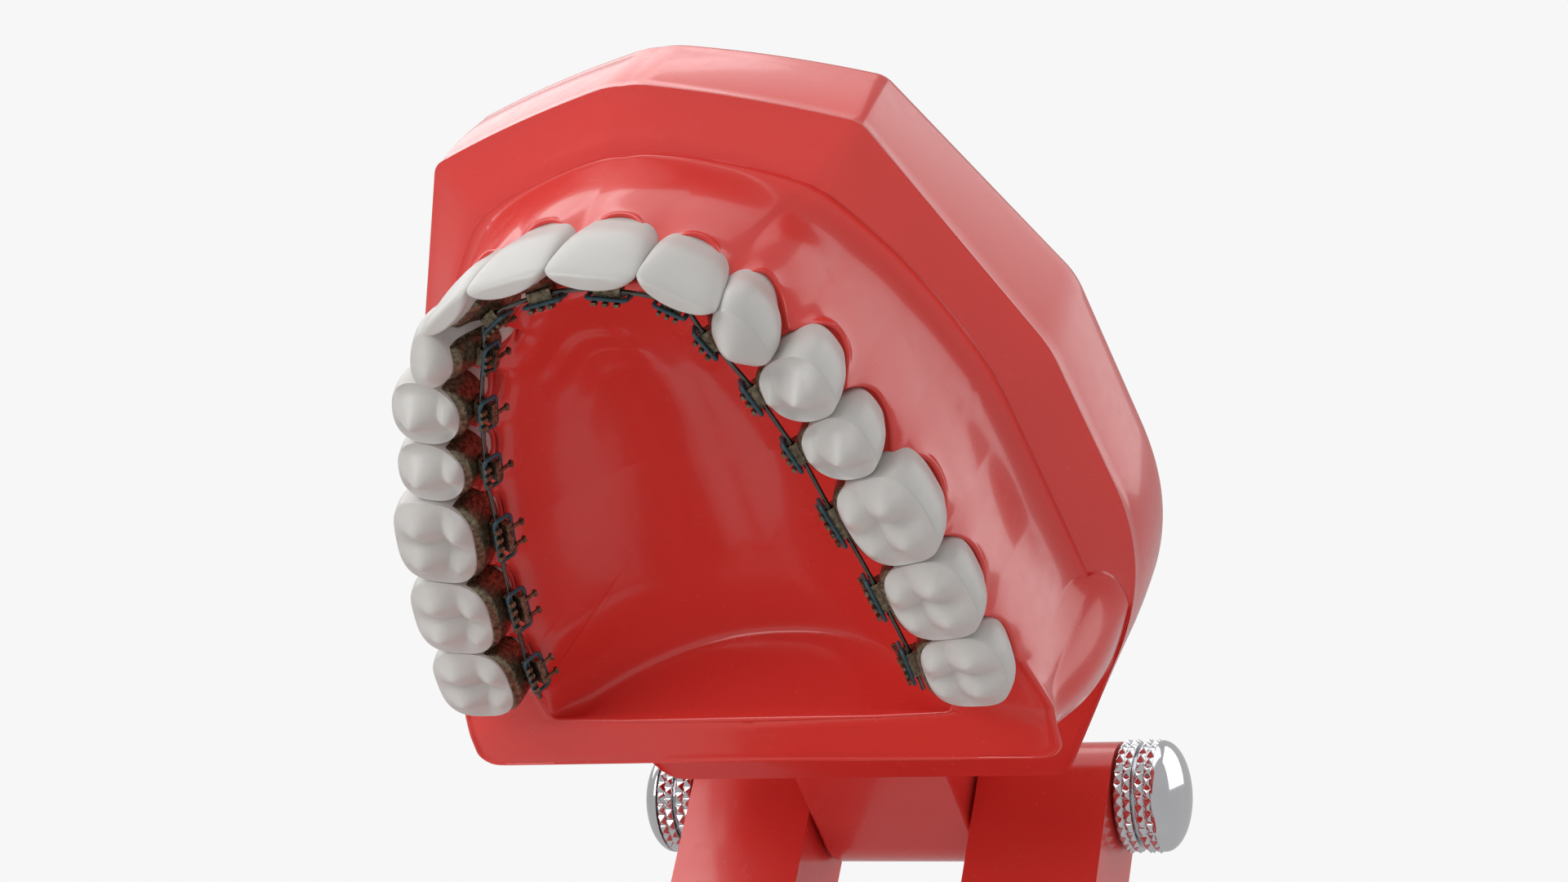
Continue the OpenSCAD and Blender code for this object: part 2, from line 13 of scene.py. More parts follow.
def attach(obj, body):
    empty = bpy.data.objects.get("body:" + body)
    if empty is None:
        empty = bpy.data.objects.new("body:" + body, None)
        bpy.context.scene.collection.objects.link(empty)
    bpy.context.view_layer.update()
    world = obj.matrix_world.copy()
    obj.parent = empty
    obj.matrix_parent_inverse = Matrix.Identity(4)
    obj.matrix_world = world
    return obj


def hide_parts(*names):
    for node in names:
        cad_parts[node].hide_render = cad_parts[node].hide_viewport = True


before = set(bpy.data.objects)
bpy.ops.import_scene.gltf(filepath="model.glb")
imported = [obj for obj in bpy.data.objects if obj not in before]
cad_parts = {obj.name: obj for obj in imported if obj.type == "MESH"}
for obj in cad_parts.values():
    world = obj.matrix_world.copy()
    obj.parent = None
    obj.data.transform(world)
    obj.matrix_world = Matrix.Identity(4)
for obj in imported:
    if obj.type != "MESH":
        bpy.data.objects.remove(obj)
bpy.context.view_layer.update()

# %% [markdown]
# ## Two jaw frames
# A dental technician thinks in one jaw at a time, so each surface below is worked out in millimetres
# in its jaw's own frame: x across, a toward the front, o toward the biting side, with o = 0 in the plane
# of the archwire.
# Two small functions then carry points to the table: the upper jaw hangs on the hinge, opened by 44 degrees.

# %% Jaw frames
OPEN = np.radians(44.0)
HINGE_BACK, HINGE_RISE = 42.4, 31.6
BACK_O, RIDGE1_O, RIDGE2_O, BACK_ROUND = -33.6, -21.9, -18.5, 1.6
BASE_HALF, BASE_FRONT, BASE_REAR, REAR_HALF = 37.0, 60.5, 29.3, 23.5
TIP_O, BITE_GAP = 4.8, 0.4
MID_A = (BASE_FRONT - BASE_REAR) / 2
HINGE = np.array([0.0, MID_A + HINGE_BACK, -BACK_O + 2 * TIP_O + BITE_GAP + HINGE_RISE])


def upper_place(p):
    """Upper jaw point to row frame in metres: (a, o) measured from the hinge, turned by the opening angle."""
    c, s = np.cos(OPEN), np.sin(OPEN)
    a, o = p[..., 1] + HINGE_BACK, p[..., 2] + HINGE_RISE
    return np.stack([p[..., 0], HINGE[1] - c * a - s * o, HINGE[2] + s * a - c * o], -1) / 1000


def lower_place(p):
    """Lower jaw point to row frame in metres: a runs to -Y and o runs up from the table."""
    return np.stack([p[..., 0], MID_A - p[..., 1], p[..., 2] - BACK_O], -1) / 1000


PLACE = [upper_place, lower_place]
JAW = ["upper", "lower"]
BODY = ["upper_jaw", "lower_jaw"]
print("hinge at", HINGE.round(2).tolist(), "mm")

# %% [markdown]
# ## Meshes from arrays
# Every surface is a grid of points: numpy works out all of them at once, and the mesh takes the arrays
# with foreach_set. A closed mesh has a signed volume (the sum of small tetrahedra), so if it comes out
# negative the faces point inward and we turn them all. That saves thinking about the direction of each loop.

# %% Mesh helpers
def grid_quads(rows, cols, wrap=True, start=0):
    """Quads of a grid of rows x cols points; wrap joins the last column to the first."""
    r, c = np.meshgrid(np.arange(rows - 1), np.arange(cols if wrap else cols - 1), indexing="ij")
    n = (c + 1) % cols
    q = np.stack([r * cols + c, r * cols + n, (r + 1) * cols + n, (r + 1) * cols + c], -1)
    return q.reshape(-1, 4) + start


def fan(ring, pole):
    """Triangles from a closed ring of indices to one pole."""
    return np.stack([ring, np.roll(ring, -1), np.full_like(ring, pole)], -1)


def capped_stack(points):
    """Stack of closed rings (rows, cols, 3) with a pole in each end ring: points, quads, triangles."""
    rows, cols = points.shape[:2]
    v = np.concatenate([points.reshape(-1, 3), points[0].mean(0)[None], points[-1].mean(0)[None]])
    q = grid_quads(rows, cols)
    n = rows * cols
    t = np.concatenate([fan(np.arange(cols), n)[:, ::-1], fan(np.arange(n - cols, n), n + 1)])
    return v, q, t


def signed_volume(v, q, t):
    """Volume in the sense of the faces: sum of a . (b x c) / 6 over all triangles."""
    tri = np.concatenate([t.reshape(-1, 3), q[:, [0, 1, 2]], q[:, [0, 2, 3]]])
    a, b, c = v[tri[:, 0]], v[tri[:, 1]], v[tri[:, 2]]
    return np.einsum("ij,ij->i", a, np.cross(b, c)).sum() / 6


NO_TRI = np.zeros((0, 3), int)


def joined(parts):
    """Several closed shells (points, quads, triangles) as one, each turned to face outward."""
    vs, qs, ts, n = [], [], [], 0
    for v, q, t in parts:
        if signed_volume(v, q, t) < 0:
            q, t = q[:, ::-1], t[:, ::-1]
        vs.append(v)
        qs.append(q + n)
        ts.append(t + n)
        n += len(v)
    return np.concatenate(vs), np.concatenate(qs), np.concatenate(ts)


def make_piece(name, shells, material, body, nodes=(), crease=40, bevel=0.0):
    """One object from closed shells in metres; crease is the angle above which an edge stays sharp."""
    v, q, t = joined(shells)
    mesh = bpy.data.meshes.new(name)
    mesh.vertices.add(len(v))
    mesh.vertices.foreach_set("co", v.astype(np.float32).ravel())
    mesh.loops.add(q.size + t.size)
    mesh.loops.foreach_set("vertex_index", np.concatenate([q.ravel(), t.ravel()]).astype(np.int32))
    starts = np.concatenate([np.arange(len(q)) * 4, q.size + np.arange(len(t)) * 3])
    mesh.polygons.add(len(starts))
    mesh.polygons.foreach_set("loop_start", starts.astype(np.int32))
    mesh.polygons.foreach_set("use_smooth", np.ones(len(starts), bool))
    mesh.update(calc_edges=True)
    mesh.validate()
    mesh.set_sharp_from_angle(angle=np.radians(crease))
    piece = bpy.data.objects.new(name, mesh)
    bpy.context.scene.collection.objects.link(piece)
    mesh.materials.append(material)
    if bevel:
        b = piece.modifiers.new("soft edges", "BEVEL")
        b.width, b.segments, b.limit_method, b.angle_limit = bevel / 1000, 2, "ANGLE", np.radians(35)
        b.harden_normals = True
    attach(piece, body)
    if nodes:
        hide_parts(*nodes)
    print(name, len(v), "points", len(q) + len(t), "faces")
    return piece


print("a ring of 12 x 3 points has", len(grid_quads(3, 12)), "quads")

# %% [markdown]
# ## Finishes
# One shader group is shared by all finishes: two noises give a slow mottling and a fine grain.
# Each material mixes them into colour, roughness and bump with its own values. The red plastic is a glossy
# injection moulding, the teeth are satin resin, the brackets are cast steel with a sandy skin, and the knobs
# are chromed.

# %% Shared mottle-and-grain group
def mottle_group():
    """Group: Object coordinates -> slow mottle, fine grain, both 0..1."""
    g = bpy.data.node_groups.new("mottle_and_grain", "ShaderNodeTree")
    g.interface.new_socket("Mottle Scale", in_out="INPUT", socket_type="NodeSocketFloat")
    g.interface.new_socket("Grain Scale", in_out="INPUT", socket_type="NodeSocketFloat")
    g.interface.new_socket("Mottle", in_out="OUTPUT", socket_type="NodeSocketFloat")
    g.interface.new_socket("Grain", in_out="OUTPUT", socket_type="NodeSocketFloat")
    gin, gout = g.nodes.new("NodeGroupInput"), g.nodes.new("NodeGroupOutput")
    coord = g.nodes.new("ShaderNodeTexCoord")
    for name, detail in (("Mottle", 3.0), ("Grain", 6.0)):
        n = g.nodes.new("ShaderNodeTexNoise")
        n.inputs["Detail"].default_value = detail
        g.links.new(coord.outputs["Object"], n.inputs["Vector"])
        g.links.new(gin.outputs[name + " Scale"], n.inputs["Scale"])
        g.links.new(n.outputs["Fac"], gout.inputs[name])
    return g


MOTTLE = mottle_group()


def finish(name, dark, light, rough, bump, scales=(60, 900), metallic=0.0, coat=0.0, subsurface=0.0):
    """Material: colour from dark to light by mottle, roughness range and bump height in metres by grain."""
    m = bpy.data.materials.new(name)
    m.use_nodes = True
    nt = m.node_tree
    b = nt.nodes["Principled BSDF"]
    grp = nt.nodes.new("ShaderNodeGroup")
    grp.node_tree = MOTTLE
    grp.inputs["Mottle Scale"].default_value, grp.inputs["Grain Scale"].default_value = scales
    ramp = nt.nodes.new("ShaderNodeValToRGB")
    ramp.color_ramp.elements[0].position, ramp.color_ramp.elements[1].position = 0.3, 0.7
    ramp.color_ramp.elements[0].color, ramp.color_ramp.elements[1].color = (*dark, 1), (*light, 1)
    nt.links.new(grp.outputs["Mottle"], ramp.inputs["Fac"])
    nt.links.new(ramp.outputs["Color"], b.inputs["Base Color"])
    rr = nt.nodes.new("ShaderNodeMapRange")
    rr.inputs["From Min"].default_value, rr.inputs["From Max"].default_value = 0.3, 0.7
    rr.inputs["To Min"].default_value, rr.inputs["To Max"].default_value = rough
    nt.links.new(grp.outputs["Grain"], rr.inputs["Value"])
    nt.links.new(rr.outputs["Result"], b.inputs["Roughness"])
    if bump:
        bp = nt.nodes.new("ShaderNodeBump")
        bp.inputs["Strength"].default_value = 1.0
        bp.inputs["Distance"].default_value = bump
        nt.links.new(grp.outputs["Grain"], bp.inputs["Height"])
        nt.links.new(bp.outputs["Normal"], b.inputs["Normal"])
    b.inputs["Metallic"].default_value = metallic
    b.inputs["Coat Weight"].default_value = coat
    b.inputs["Coat Roughness"].default_value = 0.08
    b.inputs["Subsurface Weight"].default_value = subsurface
    b.inputs["Subsurface Radius"].default_value = (0.004, 0.003, 0.002)
    b.inputs["Subsurface Scale"].default_value = 0.4
    return m


RED = finish("red_plastic_gloss", (0.74, 0.044, 0.036), (0.80, 0.050, 0.040),
             (0.20, 0.28), 0.0, (45, 700), coat=0.4)
TOOTH = finish("tooth_resin", (0.58, 0.565, 0.54), (0.64, 0.625, 0.60),
               (0.30, 0.42), 0.000008, (120, 1500), subsurface=0.12)
BRACKET = finish("bracket_cast_steel", (0.085, 0.067, 0.046), (0.32, 0.255, 0.17),
                 (0.22, 0.40), 0.00006, (2200, 5200), metallic=0.85)
WIRE = finish("wire_drawn_steel", (0.12, 0.12, 0.115), (0.2, 0.2, 0.19),
              (0.22, 0.4), 0.0, (400, 4000), metallic=1.0)
ELASTIC = finish("elastic_teal", (0.028, 0.072, 0.094), (0.042, 0.096, 0.122),
                 (0.3, 0.5), 0.000006, (500, 4000))
CHROME = finish("chrome_polished", (0.70, 0.70, 0.72), (0.78, 0.78, 0.80),
                (0.05, 0.12), 0.0, (200, 2500), metallic=1.0)
STEEL = finish("axle_steel_turned", (0.45, 0.45, 0.46), (0.56, 0.56, 0.57),
               (0.25, 0.4), 0.0, (300, 3000), metallic=1.0)
print("finishes:", [m.name for m in bpy.data.materials])

# %% [markdown]
# ## The row of teeth
# A dental arch is broad and flat at the front, turns at the canines and then runs back nearly straight.
# The curve x(d) = h (1 - exp(-(d / b)^0.9)) + k d - c (d / 10)^3, with d the depth behind the front, does
# just that with four sizes.
# Teeth stand along it by their widths, each turned to the chord between its two contact points.

# %% Arch and tooth frames
FRONT, HALF, SPREAD, BEND, CURL = [57.4, 54.6], [13.2, 10.9], [0.34, 0.355], 1.85, 0.038
TOOTH_W = np.array([[8.5, 7.8, 7.4, 7.3, 7.1, 10.2, 9.4, 8.6], [5.7, 6.1, 7.0, 7.1, 7.2, 10.6, 9.8, 9.0]])
TOOTH_B = np.array([[6.4, 6.0, 6.8, 7.2, 7.2, 8.8, 8.8, 8.6], [5.2, 5.4, 6.4, 6.6, 7.0, 9.0, 9.0, 8.8]])
TIP = TIP_O - np.array([0.2, 0.7, 0.0, 0.2, 0.4, 0.3, 0.5, 0.8])
SHAPE = np.array([0, 0, 1, 2, 2, 3, 3, 3])
KIND = ["central_incisor", "lateral_incisor", "canine", "first_premolar", "second_premolar",
        "first_molar", "second_molar", "third_molar"]


def gum_o(a):
    """Mean level of the gum ridge: a plane that falls toward the front."""
    return -2.2 - 0.05 * a


def arch(j, d):
    """Points of the row's line at depth d behind the front."""
    depth = np.maximum(d, 0)
    x = HALF[j] * (1 - np.exp(-(depth / BEND) ** 0.9)) + SPREAD[j] * d - CURL * (depth / 10) ** 3
    return np.stack([x, FRONT[j] - d], -1)


DEPTHS = 64 * np.linspace(0, 1, 1500) ** 1.6


def arch_at(j, s):
    """Points of the row's line at arc length s from the middle."""
    p = arch(j, DEPTHS)
    run = np.concatenate([[0], np.cumsum(np.linalg.norm(np.diff(p, axis=0), axis=1))])
    return arch(j, np.interp(s, run, DEPTHS))


CONTACT = [np.concatenate([[0], np.cumsum(TOOTH_W[j])]) for j in (0, 1)]


def tooth_frames(j):
    """For all eight teeth: mid points, directions along the row, outward directions."""
    p = arch_at(j, CONTACT[j])
    u = np.diff(p, axis=0)
    u /= np.linalg.norm(u, axis=1)[:, None]
    return (p[1:] + p[:-1]) / 2, u, np.stack([-u[:, 1], u[:, 0]], -1)


FRAMES = [tooth_frames(j) for j in (0, 1)]
print("upper tooth places:", FRAMES[0][0].round(1).tolist())

# %% [markdown]
# ## Crowns
# A crown is a stack of rounded-square sections. Tables give the width, the cheek side and the depth at
# a few heights, and a smooth cubic runs between them. The biting face closes the stack: its height is a soft
# maximum of cones, one per cusp, so the valleys between cusps become the grooves of a real molar.

# %% Crown surface
# Per kind of crown: height share, width share, cheek side in mm, depth share
CROWN = [
    [[-0.4, 0.5, -1.6, 0.70], [0, 0.86, -0.7, 0.92], [0.3, 0.94, 0.1, 0.76],
     [0.6, 0.98, 0.35, 0.48], [0.85, 1, 0.35, 0.33], [1, 0.95, 0.25, 0.2]],
    [[-0.4, 0.5, -0.8, 0.74], [0, 0.82, 0.2, 0.93], [0.3, 0.95, 1.3, 0.90],
     [0.6, 1, 1.4, 0.69], [0.85, 0.8, 0.9, 0.5], [1, 0.34, 0.4, 0.2]],
    [[-0.4, 0.56, 2.0, 0.8], [0, 0.84, 2.8, 0.94], [0.3, 0.95, 3.5, 0.99],
     [0.6, 1, 3.5, 0.94], [0.85, 0.92, 2.9, 0.79], [1, 0.7, 2.2, 0.55]],
    [[-0.4, 0.7, 3.4, 0.8], [0, 0.9, 4.1, 0.92], [0.3, 0.97, 4.8, 0.99],
     [0.6, 1, 4.8, 0.95], [0.85, 0.96, 4.2, 0.83], [1, 0.82, 3.3, 0.62]]]
# Per kind: squareness, narrowing to the tongue, fullness, where the biting face starts, sharpness of its edge
SQUARE = [3.0, 2.3, 2.4, 3.0]
TAPER = [0.45, 0.42, 0.18, 0.06]
FULL = [1.07, 1.07, 1.04, 1.01]
SHOULDER = [0.90, 0.78, 0.68, 0.70]
EDGE_POWER = [9, 3, 3.6, 4]
# Cusps of the biting face: place along the row, place across, height share
CUSPS = {1: [(0, 0, 1)], 2: [(0, 0.34, 1), (-0.1, -0.66, 0.62)],
         3: [(-0.46, 0.40, 1), (0.42, 0.42, 0.94), (-0.36, -0.62, 0.80), (0.5, -0.60, 0.64)]}


def smooth_curve(x, knots, col):
    """Cubic Hermite curve through the table's column, with slopes from neighbouring knots."""
    k = np.array(knots)
    xs, ys = k[:, 0], k[:, col]
    m = np.gradient(ys, xs)
    i = np.clip(np.searchsorted(xs, x) - 1, 0, len(xs) - 2)
    h = xs[i + 1] - xs[i]
    t = (x - xs[i]) / h
    return ((1 + 2 * t) * (1 - t) ** 2 * ys[i] + t * (1 - t) ** 2 * h * m[i]
            + t * t * (3 - 2 * t) * ys[i + 1] + t * t * (t - 1) * h * m[i + 1])


def smoothstep(x):
    """0 to 1 with level ends."""
    x = np.clip(x, 0, 1)
    return x * x * (3 - 2 * x)


def signed_power(x, p):
    """x to the power p, keeping the sign."""
    return np.sign(x) * np.abs(x) ** p


def crown_section(j, k, t, ang):
    """(along, outward) at height share t and angle ang: a superellipse, narrower on the tongue side."""
    c = SHAPE[k]
    n = 2 / SQUARE[c]
    w = TOOTH_W[j, k] * FULL[c] / 2 * smooth_curve(t, CROWN[c], 1)
    b = TOOTH_B[j, k] * smooth_curve(t, CROWN[c], 3) / 2
    s = signed_power(np.sin(ang), n)
    u = w * signed_power(np.cos(ang), n) * (1 - TAPER[c] * ((1 - s) / 2) ** 1.6)
    root = np.clip(-t / 0.27, 0, 1)
    v = smooth_curve(t, CROWN[c], 2) - b + b * s * (1 - (0.3 * root + 0.35 * root ** 3) * (c >= 2))
    return u, v


def to_jaw(j, k, u, v, o):
    """Point of tooth k's frame (along, outward, up) in the jaw's frame."""
    p, eu, ev = (f[k] for f in FRAMES[j])
    return np.stack([p[0] + u * eu[0] + v * ev[0], p[1] + u * eu[1] + v * ev[1], o + 0 * u], -1)


def biting_face(c, p, q):
    """Height share over the biting face at (p, q): soft maximum of cones standing on the cusps."""
    if c == 0:
        return 1 - 0.06 * p ** 2 + 0.03 * np.cos(p * 7)
    slope = {1: 0.8, 2: 1.7, 3: 2.15}[c]
    beta = 34.0
    cones = [h - slope * np.sqrt((p - a) ** 2 + (0.8 * (q - b)) ** 2 + 0.012) for a, b, h in CUSPS[c]]
    face = np.log(sum(np.exp(beta * z) for z in cones)) / beta + 0.1
    rim = np.maximum(np.abs(p), np.abs(q))
    return face + (0.22 * smoothstep((rim - 0.6) / 0.35) if c >= 2 else 0)


def tooth_shell(j, k, cols=88):
    """Closed crown: sections from under the gum to the shoulder, then the biting face drawn in."""
    c = SHAPE[k]
    g = gum_o(FRAMES[j][0][k][1])
    ang = np.arange(cols) * 2 * np.pi / cols
    ts = np.linspace(-0.27, SHOULDER[c], 44)
    u, v = crown_section(j, k, ts[:, None], ang[None])
    side = to_jaw(j, k, u, v, g + (TIP[k] - g) * ts[:, None])
    r = np.linspace(1, 0.02, 30)[1:, None]
    vm = (v[-1].max() + v[-1].min()) / 2
    top = g + (TIP[k] - g) * SHOULDER[c]
    p, q = u[-1] / np.abs(u[-1]).max() * r, (v[-1] - vm) / np.abs(v[-1] - vm).max() * r
    tip_v, shoulder_v = smooth_curve(np.array([1.0, SHOULDER[c]]), CROWN[c], 2)
    lean = tip_v - shoulder_v
    rise = (1 - r ** EDGE_POWER[c]) * biting_face(c, p, q) * (TIP[k] - top)
    face = to_jaw(j, k, u[-1] * r, vm + (v[-1] - vm) * r + 0.4 * lean * (1 - r ** 2), top + rise)
    return capped_stack(np.concatenate([side, face]))


def mirrored(shell):
    """The same shell on the other side of the middle plane."""
    v, q, t = shell
    return v * np.array([-1, 1, 1]), q[:, ::-1], t[:, ::-1]


def placed(j, shell):
    """A shell carried from its jaw's frame to the table."""
    return PLACE[j](shell[0]), shell[1], shell[2]


for j in (0, 1):
    for k, kind in enumerate(KIND):
        shell = tooth_shell(j, k)
        for side, s in (("right", shell), ("left", mirrored(shell))):
            name = f"{JAW[j]}_{side}_{kind}"
            make_piece(name + "_crown", [placed(j, s)], TOOTH, BODY[j], [name], crease=80)

# %% [markdown]
# ## Casts
# The casts are trimmed like plaster study models: a back with a pointed front, a tapering wall up to a first
# ridge, a flat sloping band with facets up to a second ridge, and then the soft gum. We draw half loops from
# the front point round to the middle of the rear, at the stations U (one unit per corner), and stack them.

# %% Base outlines
CORNER_OUT, STRIP_HALF = 1.6, 31.0
# Per ridge: outward bow of the first two edges in mm, share of an edge that is rounded at each corner
BOW = {1: (0.5, 0.0), 2: (0.8, 1.5)}
SOFT = {1: np.array([0.12, 0.035, 0.06, 0.40, 0.08, 0.05]),
        2: np.array([0.15, 0.06, 0.07, 0.05, 0.10, 0.05])}
RIDGE1 = np.array([[0, BASE_FRONT], [22, 53.7], [BASE_HALF - 3, 27],
                   [BASE_HALF + CORNER_OUT, -1], [REAR_HALF, -BASE_REAR], [0, -BASE_REAR]])
RIDGE2 = np.array([[0, BASE_FRONT - 5.2], [17.7, 49.5], [BASE_HALF - 7.4, 26],
                   [BASE_HALF - 3.8, 1.3], [STRIP_HALF - 3, -12.3], [0, -12.3]])
BACK = np.array([[0, BASE_FRONT - 2], [21.5, 52.4], [BASE_HALF - 2, 28],
                 [BASE_HALF + 1 + CORNER_OUT, -3], [REAR_HALF, -BASE_REAR], [0, -BASE_REAR]])
# Lengths along the row of teeth that belong to the first three corners
STATIONS = [0, 16.0, 43.0]
U = np.concatenate([np.linspace(0, 1, 60)[:-1], np.linspace(1, 2, 80)[:-1], np.linspace(2, 3, 84)[:-1],
                    np.linspace(3, 3.1, 14)[:-1], np.linspace(3.1, 4, 36)[:-1], np.linspace(4, 5, 30)])


def rounded_outline(p, ridge):
    """Outline at the stations U: edges with an outward bow 4 f (1 - f), and a parabola over each corner."""
    q = np.concatenate([[p[1] * [-1, 1]], p, [p[4] * [-1, 1]]])
    e = np.clip(np.floor(U).astype(int), 0, 4)
    line = p[e] + (p[e + 1] - p[e]) * (U - e)[:, None]
    c = np.round(U).astype(int)
    soft = SOFT[ridge][c]
    d = (U - c) / soft
    near = np.abs(d) < 1
    a, m, b = q[c], q[c + 1], q[c + 2]
    t = (d[:, None] + 1) / 2
    left, right = m + (a - m) * soft[:, None], m + (b - m) * soft[:, None]
    arc = (1 - t) ** 2 * left + 2 * t * (1 - t) * m + t ** 2 * right
    f, way = U - e, (p[1:] - p[:-1])[e]
    way = way / np.linalg.norm(way, axis=1)[:, None]
    out = np.array([*BOW[ridge], 0, 0, 0])[e] * 4 * f * (1 - f)
    return np.where(near[:, None], arc, line) + out[:, None] * np.stack([-way[:, 1], way[:, 0]], -1)


def smooth_loop(y, width, odd=False):
    """Half-loop values smoothed by a cosine window; the other half mirrors them, negated if odd."""
    e = -1 if odd else 1
    full = np.concatenate([e * y[width:0:-1], y, e * y[-2:-width - 2:-1]])
    w = 1 + np.cos(np.linspace(-np.pi, np.pi, 2 * width + 1))
    return np.convolve(full, w / w.sum(), mode="valid")


print("outline stations:", len(U))

# %% [markdown]
# ## Gum edge
# The gum's edge follows the teeth: it dips at the middle of every tooth and rises to a point between two.
# Behind the last molar it runs on as the edge of the rear strip. It could be drawn by hand as a spline;
# worked out from the teeth it stays right when a tooth changes size.

# %% Gum edge
ZENITH = np.array([-1.5, -1.2, -1.7, -1.3, -1.1, -1.0, -0.8, -0.6])
PAPILLA = 1.9
# Share of the dip at which the neck is measured, room between neck and rim, pull-in between two teeth
DIP_SHARE, RIM_OUT, PULL_OUT, PULL_IN = 0.3, 0.34, 1.15, 0.9
# Rear and front edge of the rear strip, and how far the palate runs in under its front edge
REAR_WALL, REAR_IN, UNDERCUT = -7.5, -1.6, 1.8


def gum_edge(j, outer):
    """Rim of the gum at the stations U, on the cheek or the tongue side: points, swelling over the roots."""
    mid, eu, ev = FRAMES[j]
    sign = 1 if outer else -1
    low = ZENITH * DIP_SHARE / (TIP - gum_o(mid[:, 1]))
    cheek, depth = [np.array([smooth_curve(np.array([t]), CROWN[c], col)[0] for c, t in zip(SHAPE, low)])
                    for col in (2, 3)]
    neck = cheek if outer else cheek - TOOTH_B[j] * depth
    rim = mid + ev * (neck + sign * RIM_OUT)[:, None]
    beyond = rim[-1] + eu[-1] * TOOTH_W[j, -1] * 0.62
    gaps = np.concatenate([[rim[0] * [0, 1]], (rim[1:] + rim[:-1]) / 2, [beyond]])
    pull = np.concatenate([ev[:1] * [0, 1], (ev[1:] + ev[:-1]) / 2, ev[-1:]])
    gaps = gaps - sign * pull * (PULL_OUT if outer else PULL_IN)
    if outer:
        gaps[-1] = rim[-1] + eu[-1] * TOOTH_W[j, -1] * 0.38 + ev[-1] * 0.3
    end = CONTACT[j][-1]
    s = np.interp(U, [0, 1, 2, 3], STATIONS + [end])
    k = np.clip(np.searchsorted(CONTACT[j], s, side="right") - 1, 0, 7)
    f = (s - CONTACT[j][k]) / TOOTH_W[j, k]
    side = np.where(f < 0.5, 0, 1)
    away = gaps[k + side] - rim[k]
    along = (away * eu[k]).sum(1)
    across = (away * ev[k]).sum(1)
    h = np.abs(2 * f - 1)
    p = rim[k] + eu[k] * (along * h)[:, None] + ev[k] * (across * h ** 2.2)[:, None]
    dip = ZENITH[k] * (1.0 if outer else 0.55)
    o = gum_o(p[:, 1]) + dip + (PAPILLA - dip) * h ** 2.4 * (1 - smoothstep((s - end + 3) / 3))
    swell = (1 - h ** 2) * np.where(k == 2, 0.3, 0.15) * (1 - smoothstep((s - end + 5) / 5))
    last = np.searchsorted(U, 3.0)
    a, r = p[last], np.clip(U - 3, 0, 2)
    if outer:
        knots = np.array([a, [STRIP_HALF + 0.9, REAR_IN + 0.3], [STRIP_HALF + 0.9, REAR_WALL + 1.2],
                          [STRIP_HALF - 0.4, REAR_WALL], [0, REAR_WALL]])
        q = np.stack([np.interp(r, [0, 0.07, 0.5, 0.62, 2], knots[:, i]) for i in (0, 1)], -1)
    else:
        knots = np.array([a, [a[0] - 0.8, REAR_IN + 0.3], [a[0] * 0.6, REAR_IN], [0, REAR_IN]])
        q = np.stack([np.interp(r, [0, 0.25, 1, 2], knots[:, i]) for i in (0, 1)], -1)
    rear = U > 3
    p = np.where(rear[:, None], q, p)
    o = np.where(rear, gum_o(p[:, 1]) + (o[last] - gum_o(a[1])) * (1 - smoothstep(r / 0.3)), o)
    if j == 1:
        o = o - np.where(rear, 12 * smoothstep((19 - p[:, 0]) / 8), 0)
    p[0, 0] = p[-1, 0] = 0
    soft = np.pad(p, ((3, 3), (0, 0)), mode="reflect", reflect_type="odd")
    soft[:3, 0], soft[:3, 1] = -p[3:0:-1, 0], p[3:0:-1, 1]
    soft[-3:, 0], soft[-3:, 1] = -p[-2:-5:-1, 0], p[-2:-5:-1, 1]
    weight = np.array([1, 3, 6, 8, 6, 3, 1]) / 28
    p = sum(w * soft[i:i + len(p)] for i, w in enumerate(weight))
    return np.column_stack([p, o]), np.where(rear, 0, swell)


RIM_LEVEL = gum_edge(0, True)[0][:, 2]
print("upper gum rim from", RIM_LEVEL.min().round(2), "to", RIM_LEVEL.max().round(2), "mm")

# %% [markdown]
# ## Cast surface
# From the back to the palate all rings have the same stations, so the whole cast is one grid. The gum wall
# is a Bezier curve from ridge to rim, hollow at its foot; the rims are rolled; the palate is a power curve
# between the rim and its floor. One grid has no seams to hide, which separate patches would.

# %% Cast surface
MIDDLE = np.array([0.0, 22.0])
# Depth of the palate and of the tongue space under the gum
VAULT = [12.5, 13.0]
BACK_MIDDLE = np.array([0, 15.0])
# Size of the raised lines on the ridges, radius of the rolled rims, depth of the hollow foot of the gum wall
BEAD, ROLL, HOLLOW = 0.42, 0.32, 1.2
# Stations on either side over which the rim's waves are smoothed away on the gum wall and on the palate
CALM_WALL, CALM_PALATE = 45, 55
# Folds and middle seam of the palate: height, spacing of the folds, their place
FOLD_H, FOLD_STEP, FOLD_A = 0.12, 4.4, 40


def bezier(p0, p1, p2, p3, t):
    """Cubic curve with four control points, t down the rows."""
    t = t[:, None, None]
    return (1 - t) ** 3 * p0 + 3 * t * (1 - t) ** 2 * p1 + 3 * t * t * (1 - t) * p2 + t ** 3 * p3


def level(p, o):
    """Plan points with a height: (n, 2) and o to (n, 3)."""
    return np.column_stack([p, np.broadcast_to(o, len(p))])


def bead(p, q, r, size):
    """Five rings round the edge q between the faces p-q and q-r: a slightly raised, rounded line."""
    back, on = p - q, r - q
    back, on = (size * d / np.linalg.norm(d, axis=1)[:, None] for d in (back, on))
    lift = -(back + on) * 0.26
    return [q + back, q + back * 0.4 + lift, q + lift * 1.3, q + on * 0.4 + lift, q + on]


